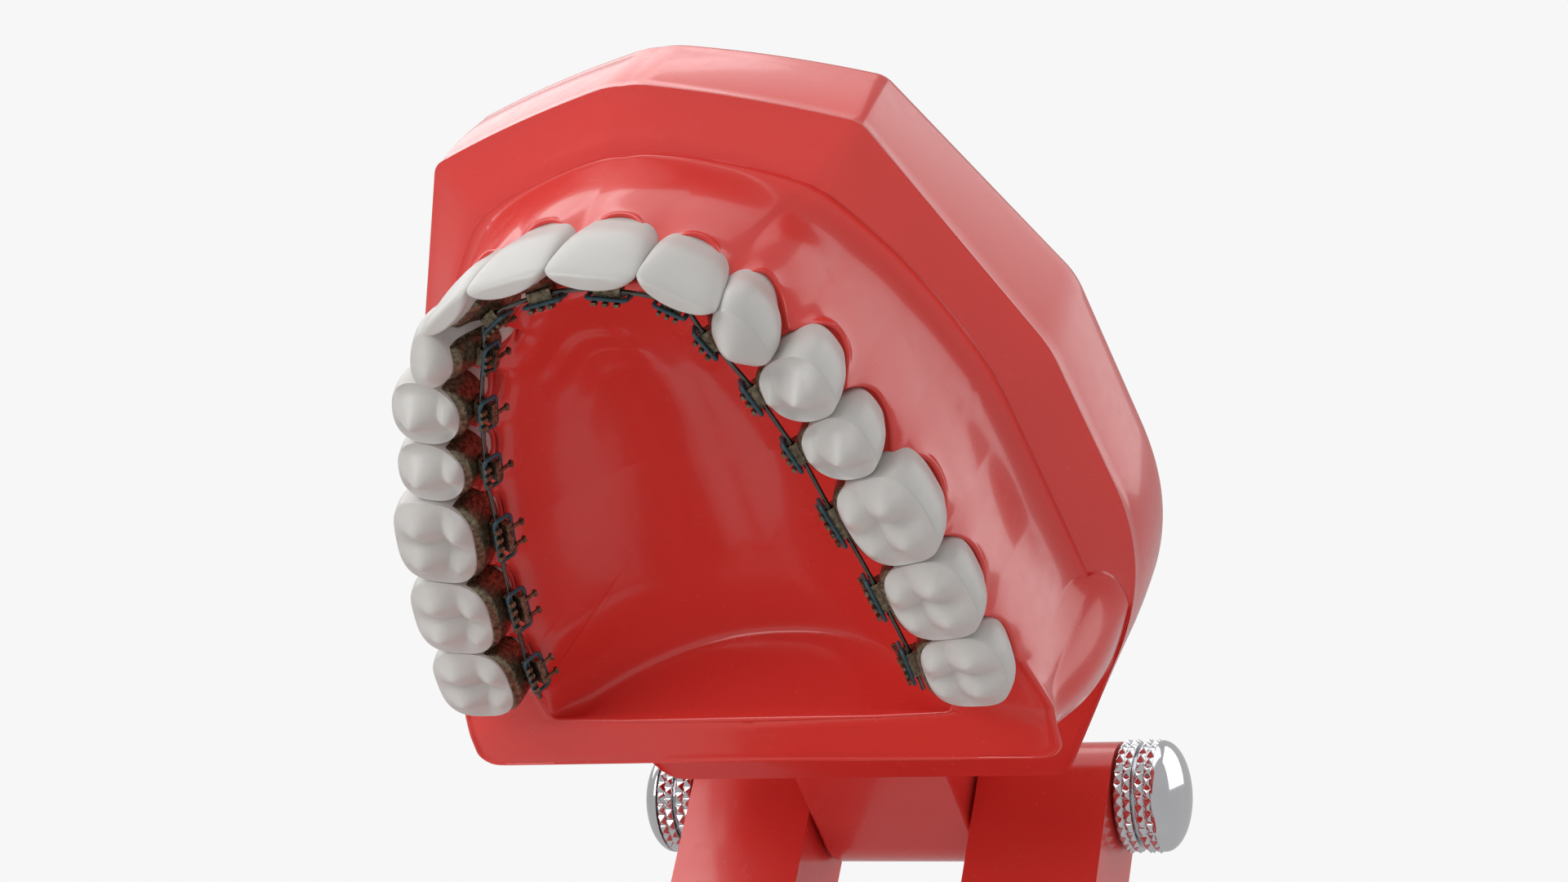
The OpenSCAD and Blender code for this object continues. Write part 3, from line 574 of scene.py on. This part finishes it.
def cast_rings(j):
    """All rings of half a cast, from the back to the middle of the palate or tongue space."""
    back, r1, r2 = rounded_outline(BACK, 1), rounded_outline(RIDGE1, 1), rounded_outline(RIDGE2, 2)
    # Behind the heel the second ridge swings out to the first, follows it, and returns to the rear wall
    out_share = np.interp(U, [3, 3.25, 3.5, 3.8], [0, 1, 1, 0])[:, None]
    ahead = np.stack([np.interp(U - 0.1, U, r1[:, i]) for i in (0, 1)], -1)
    inset = ahead + 0.35 * (MIDDLE - ahead) / np.linalg.norm(MIDDLE - ahead, axis=1)[:, None]
    start = np.where((U < 3.3)[:, None], r2[np.searchsorted(U, 3.0)], RIDGE2[4])
    r2 = np.where(((U > 3) & (U < 3.8))[:, None], start + (inset - start) * out_share, r2)
    r2_o = RIDGE2_O + (RIDGE1_O + 0.3 - RIDGE2_O) * np.clip((U - 3) / 0.25, 0, 1)
    co, swell = gum_edge(j, True)
    ci, _ = gum_edge(j, False)
    inward = (BACK_MIDDLE - back) / np.linalg.norm(BACK_MIDDLE - back, axis=1)[:, None]
    rings = [level(BACK_MIDDLE + (back - BACK_MIDDLE) * s, BACK_O) for s in (0.3, 0.6, 0.85, 0.95)]
    for a in np.radians([0, 15, 30, 45, 60, 75, 90]):
        drawn_in = back + inward * BACK_ROUND * (1 - np.sin(a))
        rings.append(level(drawn_in, BACK_O + BACK_ROUND * (1 - np.cos(a))))
    low, high = level(back, BACK_O + BACK_ROUND), level(r1, RIDGE1_O)
    for t in (0.12, 0.3, 0.5, 0.7, 0.85):
        rings.append(low + (high - low) * t + level(-inward * 0.25 * np.sin(np.pi * t), 0))
    ledge = level(r2, r2_o)
    rings += bead(low, high, ledge, BEAD)
    rings += [high + (ledge - high) * t - [0, 0, 0.5 * t * (1 - t)] for t in (0.25, 0.42, 0.58, 0.75)]
    rings += bead(high, ledge, co, BEAD)
    # Gum wall: hollow at its foot, swelling toward the rim
    out = co[:, :2] - MIDDLE
    out /= np.linalg.norm(out, axis=1)[:, None]
    calm_o = smooth_loop(co[:, 2], CALM_WALL)
    calm = np.column_stack([smooth_loop(co[:, 0], CALM_WALL, odd=True), smooth_loop(co[:, 1], CALM_WALL)])
    foot = level(r2 + (calm - r2) * 0.62 - out * HOLLOW, r2_o + (calm_o - r2_o) * 0.02)
    neck = level(calm + out * 0.9, r2_o + (calm_o - r2_o) * 0.7)
    ledge = rings[-1]
    t = np.linspace(0, 1, 36)[1:-1]
    rear = smoothstep((U - 2.97) / 0.4)[:, None]
    belly = level(np.outer(np.interp(U, [2.96, 3.1, 3.3, 3.6], [0, 0.7, 0.6, 0]), [1, 0]), 0)
    foot = foot + (ledge + (co - ledge) / 3 + belly - foot) * rear
    neck = neck + (ledge + (co - ledge) * 2 / 3 + belly - neck) * rear
    wall = bezier(ledge, foot, neck, np.column_stack([calm, calm_o]), t)
    wall += (t[:, None, None] ** 11) * (co - np.column_stack([calm, calm_o]))
    wall[..., :2] += (swell[None] * np.exp(-((t[:, None] - 0.62) / 0.2) ** 2))[..., None] * out
    rings += list(wall)
    # Rolled rims on both sides of the teeth, hidden seat between them
    cross = ci[:, :2] - co[:, :2]
    cross /= np.linalg.norm(cross, axis=1)[:, None]
    for a in np.radians([0, 30, 60, 90, 120, 150]):
        rings.append(co + level(cross * ROLL * (1 - np.cos(a)), ROLL * 0.9 * np.sin(a)))
    seat_o, seat_i = rings[-1] + [0, 0, 0.1], ci + level(-cross * ROLL * 1.8, 0.3)
    rings += [seat_o + (seat_i - seat_o) * t for t in (0.06, 0.2, 0.5, 0.8, 0.94)]
    for a in np.radians([150, 120, 90, 60, 30, 0]):
        rings.append(ci + level(-cross * ROLL * (1 - np.cos(a)), ROLL * 0.9 * np.sin(a)))
    # Palate or tongue space: a bowl in front, a trough behind, ended by a steep rear wall
    side = U <= 3
    calm = np.column_stack([smooth_loop(ci[:, i], CALM_PALATE, odd=i == 0) for i in range(3)])
    calm = np.where((side & (U < 2.8))[:, None], calm, ci)
    w = (np.linspace(0, 1, 48)[1:-1] ** 1.5)[:, None]
    plan = calm[None, :, :2] + (MIDDLE - calm[None, :, :2]) * w[..., None]
    plan = plan + ((ci - calm)[None, :, :2]) * np.exp(-(w / 0.025))[..., None]
    plan[..., 1] -= smoothstep((U - 3.1) / 0.4)[None] * UNDERCUT * np.tanh(w / 0.012) * (1 - w) ** 4
    floor = gum_o(MIDDLE[1]) - VAULT[j]
    order = np.argsort(calm[side, 1])
    half = np.interp(plan[..., 1], calm[side, 1][order], calm[side, 0][order])
    share = np.where(plan[..., 1] < MIDDLE[1], plan[..., 0] / np.maximum(half, 1), 1 - w)
    rim_o = gum_o(plan[..., 1]) + 0.3
    bowl = floor + (rim_o - floor) * np.clip(share, 0, 1) ** 2.3
    away = np.where(side[None], np.exp(-w / 0.06), 1 - np.tanh(w / 0.02))
    o = bowl + (calm[None, :, 2] - bowl) * away + (ci - calm)[None, :, 2] * np.exp(-w / 0.022)
    if j == 0:
        x, a = plan[..., 0], plan[..., 1]
        fold = np.sin((a + 0.28 * x + 1.2 * np.sin(x * 0.7)) * 2 * np.pi / FOLD_STEP)
        across = smoothstep((x - 1.2) / 2) * smoothstep((13 - x) / 3)
        o = o + FOLD_H * fold * np.exp(-((a - FOLD_A) / 5) ** 2) * across
        o = o + FOLD_H * np.exp(-(x / 1.5) ** 2) * smoothstep((a - 4) / 6) * smoothstep((50 - a) / 4)
    rings += list(np.concatenate([plan, o[..., None]], -1))
    return np.stack(rings)


def cast_shell(j):
    """Closed cast: half rings, their mirror image, and a pole at each end."""
    h = cast_rings(j)
    h[:, [0, -1], 0] = 0
    whole = np.concatenate([h, h[:, -2:0:-1] * np.array([-1, 1, 1])], 1)
    return capped_stack(whole)


for j in (0, 1):
    shell = placed(j, cast_shell(j))
    make_piece(f"{JAW[j]}_jaw_gum", [shell], RED, BODY[j], [f"{JAW[j]}_cast"], crease=75)

# %% [markdown]
# ## Lingual brackets
# Each bracket has a cast pad that hugs the tongue side of its tooth, a block with a slot for the wire, a row
# of square studs on the biting edge and one or two hooks on the gum side that hold the elastic tie. The pad
# is a patch of the crown's own surface moved toward the tongue, so it fits its tooth exactly; the rest are
# small prisms with softened edges.

# %% Bracket parts
WIRE_D, WIRE_GAP, PAD_T, BOND_T = 0.46, 0.09, 0.5, 0.14
BODY_H, WING_H, WING_T, TIE_T, TIE_GAP, SLOT_BACK = 1.0, 0.3, 0.3, 0.42, 0.08, 0.36
HOOK_W, HOOK_L, BODY_TOP = 0.34, 0.95, 0.45
BRACKET_L = [[3.2, 2.4, 2.6, 2.8, 2.8, 4.4, 4.2, 3.6], [2.2, 2.0, 2.2, 2.6, 2.8, 4.4, 4.2, 3.6]]
# Cheek side and depth share at four heights of a straight-edged crown: these place the wire
TONGUE = [[(-0.7, 0.1, 0.35, 0.35), (1, 0.74, 0.42, 0.26)], [(0.2, 1.3, 1.4, 0.8), (1, 0.88, 0.62, 0.4)],
          [(2.8, 3.5, 3.5, 2.9), (0.94, 1, 0.98, 0.86)], [(4.1, 4.8, 4.8, 4.3), (0.92, 1, 0.99, 0.9)]]
TILT = np.radians([18, 20, 26, 28])


def share_at(j, k, o):
    """Height share of tooth k at level o."""
    g = gum_o(FRAMES[j][0][k][1])
    return (np.asarray(o, float) - g) / (TIP[k] - g)


def tongue_v(j, k, o):
    """Place of the tongue side of tooth k at level o."""
    return crown_section(j, k, share_at(j, k, np.atleast_1d(o)), np.array([-np.pi / 2]))[1]


def slot_v(j, k):
    """Place of the wire behind the row's line at tooth k, from the straight-edged table of the crown."""
    t = share_at(j, k, np.array([-0.5, 0, 0.5]) * BODY_H)
    v = [np.interp(t, [0, 0.3, 0.6, 0.85], row) for row in TONGUE[SHAPE[k]]]
    return (v[0] - TOOTH_B[j, k] * v[1]).min() - BOND_T - PAD_T - SLOT_BACK - WIRE_D / 2


def pad_shell(j, k, rows=15, cols=27):
    """Closed pillow on the tongue side: an outer sheet, thinned at its rim, and one just inside the crown."""
    wide = np.radians(47 if SHAPE[k] < 2 else 66)
    a = np.linspace(-1, 1, cols)
    b = np.linspace(-1, 1, rows)
    aa, bb = np.meshgrid(a, b)
    lo, hi = (0.10 if SHAPE[k] == 3 else 0.16), min(0.80, SHOULDER[SHAPE[k]] - 0.03)
    corner = 1 - 0.10 * np.abs(aa) ** 3
    t = lo + (hi - lo) * (bb * corner + 1) / 2
    u, v = crown_section(j, k, t, -np.pi / 2 + aa * wide)
    g = gum_o(FRAMES[j][0][k][1])
    o = g + (TIP[k] - g) * t
    edge = np.maximum(np.abs(aa), np.abs(bb))
    thick = 0.12 + (BOND_T + PAD_T - 0.12) * np.sqrt(np.clip(1 - edge ** 7, 0, 1))
    outer, inner = to_jaw(j, k, u, v - thick, o), to_jaw(j, k, u, v + 0.12, o)
    n = rows * cols
    v3 = np.concatenate([outer.reshape(-1, 3), inner.reshape(-1, 3)])
    q = grid_quads(rows, cols, wrap=False)
    idx = np.arange(n).reshape(rows, cols)
    rim = np.concatenate([idx[0, :-1], idx[:-1, -1], idx[-1, :0:-1], idx[:0:-1, 0]])
    nxt = np.roll(rim, -1)
    wall = np.stack([rim, nxt, nxt + n, rim + n], -1)[:, ::-1]
    return v3, np.concatenate([q, q[:, ::-1] + n, wall]), NO_TRI


def tilted(j, k, v, o):
    """Turn (outward, up) about the wire, so that the bracket faces the tongue and the biting side."""
    b, c, s = slot_v(j, k), np.cos(TILT[SHAPE[k]]), np.sin(TILT[SHAPE[k]])
    return b + (v - b) * c + o * s, o * c - (v - b) * s


def prism(j, k, outline, u0, u1):
    """Four-sided outline in (outward, up), tilted with its bracket and carried from u0 to u1."""
    p = np.stack(tilted(j, k, *np.asarray(outline, float).T), -1)
    ends = [to_jaw(j, k, np.full(len(p), u), p[:, 0], p[:, 1]) for u in (u0, u1)]
    n = len(p)
    i, after = np.arange(n), np.roll(np.arange(n), -1)
    q = np.stack([i, after, after + n, i + n], -1)
    return np.concatenate(ends), np.concatenate([q, [[3, 2, 1, 0]], [[n, n + 1, n + 2, n + 3]]]), NO_TRI


def block(j, k, u0, u1, v0, v1, o0, o1):
    """Box tilted with its bracket."""
    return prism(j, k, [[v0, o0], [v1, o0], [v1, o1], [v0, o1]], u0, u1)


def bracket_shells(j, k):
    """Pad, slotted block, wings, studs and hooks of one bracket."""
    b, l = slot_v(j, k), BRACKET_L[j][k]
    s = WIRE_D / 2 + WIRE_GAP
    w2 = s + 2 * TIE_GAP + TIE_T
    w3 = w2 + WING_T
    deep = tongue_v(j, k, 0)[0] - BOND_T - b
    lo, hi = deep + 0.1, s + 0.25
    parts = [pad_shell(j, k)]
    # jaws of the slot, and the web behind it
    for e, base in ((-BODY_H, lo), (BODY_TOP, hi)):
        lip = s * np.sign(e)
        jaw = [[b + base, e], [b - w2, e], [b - w2, lip], [b + s, lip]]
        parts.append(prism(j, k, jaw, -l * 0.4, l * 0.4))
    web = [[b + lo, -BODY_H], [b + s, -s - 0.01], [b + s, s + 0.01], [b + hi, BODY_TOP]]
    parts.append(prism(j, k, web, -l * 0.4, l * 0.4))
    # comb of studs that holds the tie on the biting side
    n = 4 if SHAPE[k] == 3 else 3
    for i in range(n):
        c, half = (i - (n - 1) / 2) * l / n, l / n * 0.24
        parts.append(block(j, k, c - half, c + half, b - w3, b - w2 + 0.02, 0.34, BODY_TOP + WING_H + 0.35))
    # lower wing, and posts with cross heads that hold the tie on the gum side
    parts.append(block(j, k, -l * 0.42, l * 0.42, b - w3 + 0.1, b - w2 + 0.02, -BODY_H, -s))
    end = -BODY_H - WING_H - HOOK_L * 0.8
    for i in ((-1, 1) if SHAPE[k] == 3 else (0,)):
        c = i * l * 0.26
        parts.append(block(j, k, c - HOOK_W / 2, c + HOOK_W / 2, b - w3, b - w2, end, -0.7))
        parts.append(block(j, k, c - HOOK_W, c + HOOK_W, b - w3 - 0.12, b - w2 + 0.05, end - 0.3, end + 0.02))
    return parts


print("shells of a molar bracket:", len(bracket_shells(0, 5)))

# %% [markdown]
# ## All brackets of a jaw
# Nothing moves between the brackets of one jaw, so they become one piece: eight on the right and their mirror
# images. Sixteen objects would do as well.

# %% Build brackets
for j in (0, 1):
    half = [s for k in range(8) for s in bracket_shells(j, k)]
    shells = [placed(j, s) for s in half] + [placed(j, mirrored(s)) for s in half]
    make_piece(f"{JAW[j]}_lingual_brackets", shells, BRACKET, BODY[j],
               [f"{JAW[j]}_brackets"], crease=50, bevel=0.07)

# %% [markdown]
# ## Archwire and elastic ties
# The wire runs straight through every slot and bends gently to the next bracket; each tie is a small ring of
# teal rubber stretched over the wire and round the block. Both are tubes: a circle carried along a path.
# A curve object with a bevel would do too, but arrays keep the section under control.

# %% Tubes
def directions(path):
    """Unit directions along an open path (n, 3)."""
    ahead = np.gradient(path, axis=0)
    return ahead / np.linalg.norm(ahead, axis=1)[:, None]


def wire_shell(j, sides=12):
    """Archwire: two points per slot on each side, rounded off between the slots."""
    half = []
    for k in range(8):
        for e in (-1, 1):
            past = 1.6 if k == 7 and e > 0 else 0.35
            half.append(to_jaw(j, k, np.array(e * (BRACKET_L[j][k] / 2 + past)), slot_v(j, k), 0.0))
    half = np.stack(half)
    path = np.concatenate([half[::-1] * [-1, 1, 1], half])
    run = np.concatenate([[0], np.cumsum(np.linalg.norm(np.diff(path, axis=0), axis=1))])
    s = np.linspace(0, run[-1], 420)
    p = np.stack([np.interp(s, run, path[:, i]) for i in range(3)], -1)
    for _ in range(3):
        p[1:-1] = (p[:-2] + 2 * p[1:-1] + p[2:]) / 4
    ahead, a = directions(p), np.arange(sides) * 2 * np.pi / sides
    sideways = np.stack([-ahead[:, 1], ahead[:, 0], 0 * ahead[:, 0]], -1)
    circle = np.cos(a)[None, :, None] * sideways[:, None] + np.sin(a)[None, :, None] * np.array([0, 0, 1.0])
    return capped_stack(p[:, None] + WIRE_D / 2 * circle)


def tie_shell(j, k, sides=10, steps=56):
    """Rubber ring: a round section carried round a rounded rectangle in front of the wire."""
    b, l, r = slot_v(j, k), BRACKET_L[j][k] / 2 + TIE_GAP + TIE_T / 2, TIE_T / 2
    h, round_r = (BODY_H + BODY_TOP) / 2 + TIE_GAP + r, 0.5
    middle = (BODY_TOP - BODY_H) / 2
    a = np.arange(steps) * 2 * np.pi / steps
    u = np.sign(np.cos(a)) * (l - round_r) + round_r * signed_power(np.cos(a), 0.8)
    o = middle + np.sign(np.sin(a)) * (h - round_r) + round_r * signed_power(np.sin(a), 0.8)
    w = b - WIRE_D / 2 - WIRE_GAP - TIE_GAP - r
    ring = np.stack([u, o], -1)
    ahead = np.roll(ring, -1, 0) - np.roll(ring, 1, 0)
    ahead /= np.linalg.norm(ahead, axis=1)[:, None]
    normal = np.stack([ahead[:, 1], -ahead[:, 0]], -1)
    c = np.arange(sides) * 2 * np.pi / sides
    flat = ring[:, None] + r * np.cos(c)[None, :, None] * normal[:, None]
    across, up = tilted(j, k, w + r * np.sin(c)[None] + 0 * flat[..., 0], flat[..., 1])
    v = to_jaw(j, k, flat[..., 0], across, up)
    q = grid_quads(steps + 1, sides) % (steps * sides)
    return v.reshape(-1, 3), q, NO_TRI


for j in (0, 1):
    wire = placed(j, wire_shell(j))
    make_piece(f"{JAW[j]}_wire", [wire], WIRE, BODY[j], [f"{JAW[j]}_archwire"], crease=60)
    half = [tie_shell(j, k) for k in range(8)]
    ties = [placed(j, s) for s in half] + [placed(j, mirrored(s)) for s in half]
    make_piece(f"{JAW[j]}_ties", ties, ELASTIC, BODY[j], [f"{JAW[j]}_elastic_ties"], crease=80)

# %% [markdown]
# ## Hinge
# The lug of the upper jaw lies between two arms of the lower jaw on one axle. Lug and arms are outlines
# carried sideways, with softened edges as a moulding has. An arm bends at its knee, so its sides are strips
# between two matched edges; a fan about the middle would fold over at the knee.

# %% Lug and arms
LUG_W, LUG_GAP, ARM_W, ARM_T, BARREL_R, LEAN = 18.6, 0.5, 15.4, 11.0, 6.1, np.radians(29)
LUG_R = BARREL_R + 1.2
ARM_X = LUG_W / 2 + LUG_GAP


def slab(outline, x0, x1, place):
    """Closed plate: an outline (n, 2) carried from x0 to x1, both ends closed by a fan about their middle."""
    n = len(outline)
    rings = np.stack([np.column_stack([np.full(n, x), outline]) for x in (x0, x1)])
    v, q, t = capped_stack(rings)
    return place(v), q, t


def lug_outline():
    """Side view of the lug in (a, o): tangents from the rear wall to a barrel about the pin."""
    pin = np.array([-HINGE_BACK, -HINGE_RISE])
    wall = -BASE_REAR + 0.5
    top, low = np.array([wall, RIDGE1_O - 1.2]), np.array([wall, BACK_O + BACK_ROUND])

    def touch(p, e):
        d = p - pin
        return np.arctan2(d[1], d[0]) + e * np.arccos(LUG_R / np.linalg.norm(d))
    turn = np.linspace(touch(top, 1), touch(low, -1) + 2 * np.pi, 60)
    return np.concatenate([[low, top], pin + LUG_R * np.stack([np.cos(turn), np.sin(turn)], -1)])


def arm_sides():
    """Side view of an arm in (y, z) as two matched edges: foot, knee, then round the barrel to its top."""
    h = HINGE[1:]
    foot = MID_A + BASE_REAR - ARM_T / 2 - 3
    knee = h[1] - (h[0] - foot) / np.tan(LEAN)
    k = np.tan(LEAN / 2) * ARM_T / 2
    ledge = RIDGE1_O - BACK_O
    top = np.pi / 2 - LEAN
    edges = []
    for e in (-1, 1):
        turn = top + np.radians(np.linspace(-98 * e, -3 * e, 26))
        barrel = h + BARREL_R * np.stack([np.cos(turn), np.sin(turn)], -1)
        y = foot + e * ARM_T / 2
        edges.append(np.concatenate([[[y, ledge], [y, knee - e * k]], barrel]))
    return edges


def plate(front, back, x0, x1, place):
    """Closed plate between two matched edges (n, 2), carried from x0 to x1."""
    n = len(front)
    rim = np.concatenate([front, back[::-1]])
    v = np.concatenate([np.column_stack([np.full(2 * n, x), rim]) for x in (x0, x1)])
    i = np.arange(n - 1)
    cap = np.stack([i, i + 1, 2 * n - 2 - i, 2 * n - 1 - i], -1)
    r = np.arange(2 * n)
    wall = np.stack([r, (r + 1) % (2 * n), (r + 1) % (2 * n) + 2 * n, r + 2 * n], -1)
    return place(v), np.concatenate([cap[:, ::-1], cap + 2 * n, wall]), NO_TRI


def on_table(p):
    """Points already in the row frame, mm to metres."""
    return p / 1000


lug = slab(lug_outline(), -LUG_W / 2, LUG_W / 2, upper_place)
make_piece("hinge_lug_moulding", [lug], RED, "upper_jaw", ["upper_hinge_lug"], bevel=0.6)
for side, e in (("right", 1), ("left", -1)):
    arm = plate(*arm_sides(), e * ARM_X, e * (ARM_X + ARM_W), on_table)
    make_piece(f"{side}_arm_moulding", [arm], RED, "lower_jaw",
               [f"{side}_hinge_arm"], bevel=0.6)

# %% [markdown]
# ## Knobs and axle
# The knobs are turned: two knurled bands with a groove between them, then a polished dome. The knurl is real
# geometry, a lattice of small pyramids on the band's radius; a bump map would look flat along the outline.
# The axle is a plain pin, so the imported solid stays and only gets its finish.

# %% Knobs
KNOB_R, BAND_L, GROOVE_W, GROOVE_D, DOME_H, KNOB_GAP = 6.4, 2.0, 0.4, 0.9, 2.8, 0.3
KNOB_X = ARM_X + ARM_W + KNOB_GAP
PYRAMIDS, PITCH, DEPTH = 28, 1.0, 0.5


def triangle_wave(z):
    """Falls from 1 to 0 and rises again over each whole step of z."""
    return np.abs(2 * (z - np.floor(z)) - 1)


def knob_shell(e):
    """Turned knob: radius over (length, angle); on the bands it falls by a lattice of pyramids."""
    band = np.linspace(0, BAND_L, 29)
    x = np.concatenate([[0, 0.02], band[1:-1], [BAND_L, BAND_L, BAND_L + GROOVE_W, BAND_L + GROOVE_W],
                        BAND_L + GROOVE_W + band[1:-1], [2 * BAND_L + GROOVE_W] * 2])
    lattice = np.concatenate([[0, 0.2], np.ones(27), [0.2, 0, 0, 0.2], np.ones(27), [0.2, 0]])
    r = np.full(len(x), KNOB_R)
    r[[0, -1]] = KNOB_R - 0.4
    r[[30, 31]] = KNOB_R - GROOVE_D
    a = np.arange(PYRAMIDS * 10) * 2 * np.pi / (PYRAMIDS * 10)
    q = np.where(x > BAND_L + GROOVE_W / 2, x - GROOVE_W, x)[:, None] / PITCH
    p = PYRAMIDS * a[None] / (2 * np.pi) + 0.5 * (np.floor(q - 1e-6) % 2)
    pyramid = np.maximum(triangle_wave(p), triangle_wave(q))
    rad = r[:, None] - (DEPTH * pyramid * lattice[:, None] + DEPTH * (lattice < 1)[:, None])
    t = np.radians(np.linspace(0, 88.5, 30))
    xs = np.concatenate([x, 2 * BAND_L + GROOVE_W + DOME_H * np.sin(t)])
    dome = (KNOB_R - 0.2) * np.cos(t)
    rad = np.concatenate([rad, np.broadcast_to(dome[:, None], (len(t), len(a)))])
    x = e * (KNOB_X + xs[:, None] + 0 * rad)
    v, quads, tris = capped_stack(np.stack([x, HINGE[1] + rad * np.cos(a), HINGE[2] + rad * np.sin(a)], -1))
    return on_table(v), quads, tris


for side, e in (("right", 1), ("left", -1)):
    knob = knob_shell(e)
    make_piece(f"{side}_knurled_knob", [knob], CHROME, f"knob_{side}", [f"{side}_knob"], crease=28)
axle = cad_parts["hinge_axle"]
axle.data.materials.clear()
axle.data.materials.append(STEEL)

# %% [markdown]
# ## Studio
# The photograph is a cut-out on near-white, lit softly from the upper left. The floor is a pale plane that
# fades out, and the world is near-white for the camera and a plain grey for reflections and for light, so
# that it doesn't flood the object. Five area lamps light it; all but the fill also show as long highlights
# on the wet-looking plastic.

# %% Floor, world and lamps
def floor_material(colour, full, gone):
    """Matt material that fades out between the distances full and gone from the middle of the floor."""
    m = bpy.data.materials.new("pale_floor")
    m.use_nodes = True
    tree = m.node_tree
    shader = tree.nodes["Principled BSDF"]
    shader.inputs["Base Color"].default_value = (*colour, 1)
    shader.inputs["Roughness"].default_value = 0.9
    kinds = ("TexCoord", "VectorMath", "MapRange")
    place, far, fade = [tree.nodes.new("ShaderNode" + kind) for kind in kinds]
    far.operation, fade.interpolation_type = "LENGTH", "SMOOTHSTEP"
    for socket, value in {"From Min": full, "From Max": gone, "To Min": 1.0, "To Max": 0.0}.items():
        fade.inputs[socket].default_value = value
    tree.links.new(place.outputs["Object"], far.inputs[0])
    tree.links.new(far.outputs["Value"], fade.inputs["Value"])
    tree.links.new(fade.outputs["Result"], shader.inputs["Alpha"])
    return m


FLOOR_FULL, FLOOR_END = 0.35, 0.8
R = FLOOR_END
floor_mesh = bpy.data.meshes.new("floor")
floor_mesh.from_pydata([(-R, -R, 0), (R, -R, 0), (R, R, 0), (-R, R, 0)], [], [(0, 1, 2, 3)])
floor_mesh.materials.append(floor_material((0.85, 0.85, 0.85), FLOOR_FULL, FLOOR_END))
floor = bpy.data.objects.new("floor", floor_mesh)
bpy.context.scene.collection.objects.link(floor)
floor.visible_glossy = False

SEEN, AMBIENT, MIRRORED = 0.93, 0.22, 0.48
world = bpy.data.worlds.new("studio")
bpy.context.scene.world = world
world.use_nodes = True
wt = world.node_tree
wt.nodes.clear()


def background(grey):
    """Background shader of one grey."""
    node = wt.nodes.new("ShaderNodeBackground")
    node.inputs["Color"].default_value = (1, 1, 1, 1)
    node.inputs["Strength"].default_value = grey
    return node


def mix(mask, without, with_mask):
    """Mix shader between two shaders by one output of the Light Path node."""
    node = wt.nodes.new("ShaderNodeMixShader")
    wt.links.new(path.outputs[mask], node.inputs["Fac"])
    wt.links.new(without.outputs[0], node.inputs[1])
    wt.links.new(with_mask.outputs[0], node.inputs[2])
    return node


path = wt.nodes.new("ShaderNodeLightPath")
lit = mix("Is Glossy Ray", background(AMBIENT), background(MIRRORED))
shown = mix("Is Camera Ray", lit, background(SEEN))
wt.links.new(shown.outputs[0], wt.nodes.new("ShaderNodeOutputWorld").inputs["Surface"])


def lamp(name, place, aim, size, watts, mirrored=True):
    """Square area lamp at place, turned to aim, in metres; mirrored: whether glossy surfaces show it."""
    d = bpy.data.lights.new(name, "AREA")
    d.energy, d.size = watts, size
    o = bpy.data.objects.new(name, d)
    o.location = place
    o.visible_glossy = mirrored
    o.rotation_euler = (Vector(aim) - Vector(place)).to_track_quat("-Z", "Y").to_euler()
    bpy.context.scene.collection.objects.link(o)


AIM = (0.0, 0.02, 0.10)
lamp("key", (-0.40, -0.85, 0.58), AIM, 0.8, 6.2)
lamp("fill", (0.4, -0.9, 0.1), AIM, 0.8, 1.0, mirrored=False)
lamp("top", (-0.05, 0.05, 1.15), AIM, 1.0, 2.6)
lamp("back_left", (-0.65, 0.35, 0.85), AIM, 0.9, 3.2)
lamp("back_right", (0.75, 0.65, 0.60), AIM, 0.9, 3.4)
print("lamps:", [d.name for d in bpy.data.lights])

# %% [markdown]
# ## Camera
# The viewpoint comes from matching the teeth, the brackets, the base corners and the knobs with their places
# in the picture: a 66 mm lens below the upper jaw, looking up by eight degrees from 22 degrees to the right.
# The three directions are written out as that matching gave them; a camera turned to an aim would do too.

# %% Camera
cam = bpy.data.cameras.new("camera")
cam.lens, cam.sensor_width = 65.8, 36.0
cam.clip_start, cam.clip_end = 0.01, 20
camera = bpy.data.objects.new("camera", cam)
right, up, behind = (0.9276, 0.3737, 0.0006), (0.0532, -0.1335, 0.9896), (0.3699, -0.9179, -0.1437)
place = (0.11115, -0.25772, 0.06838)
camera.matrix_world = Matrix([[right[i], up[i], behind[i], place[i]] for i in range(3)] + [[0, 0, 0, 1]])
bpy.context.scene.collection.objects.link(camera)
bpy.context.scene.camera = camera
bpy.context.scene.view_settings.view_transform = "Standard"
print("camera at", place)

# %% [markdown]
# ## Last update
# The dressed model has to keep to the box of the solids; the last cell only brings the view layer up to date.

# %% Update
bpy.context.view_layer.update()
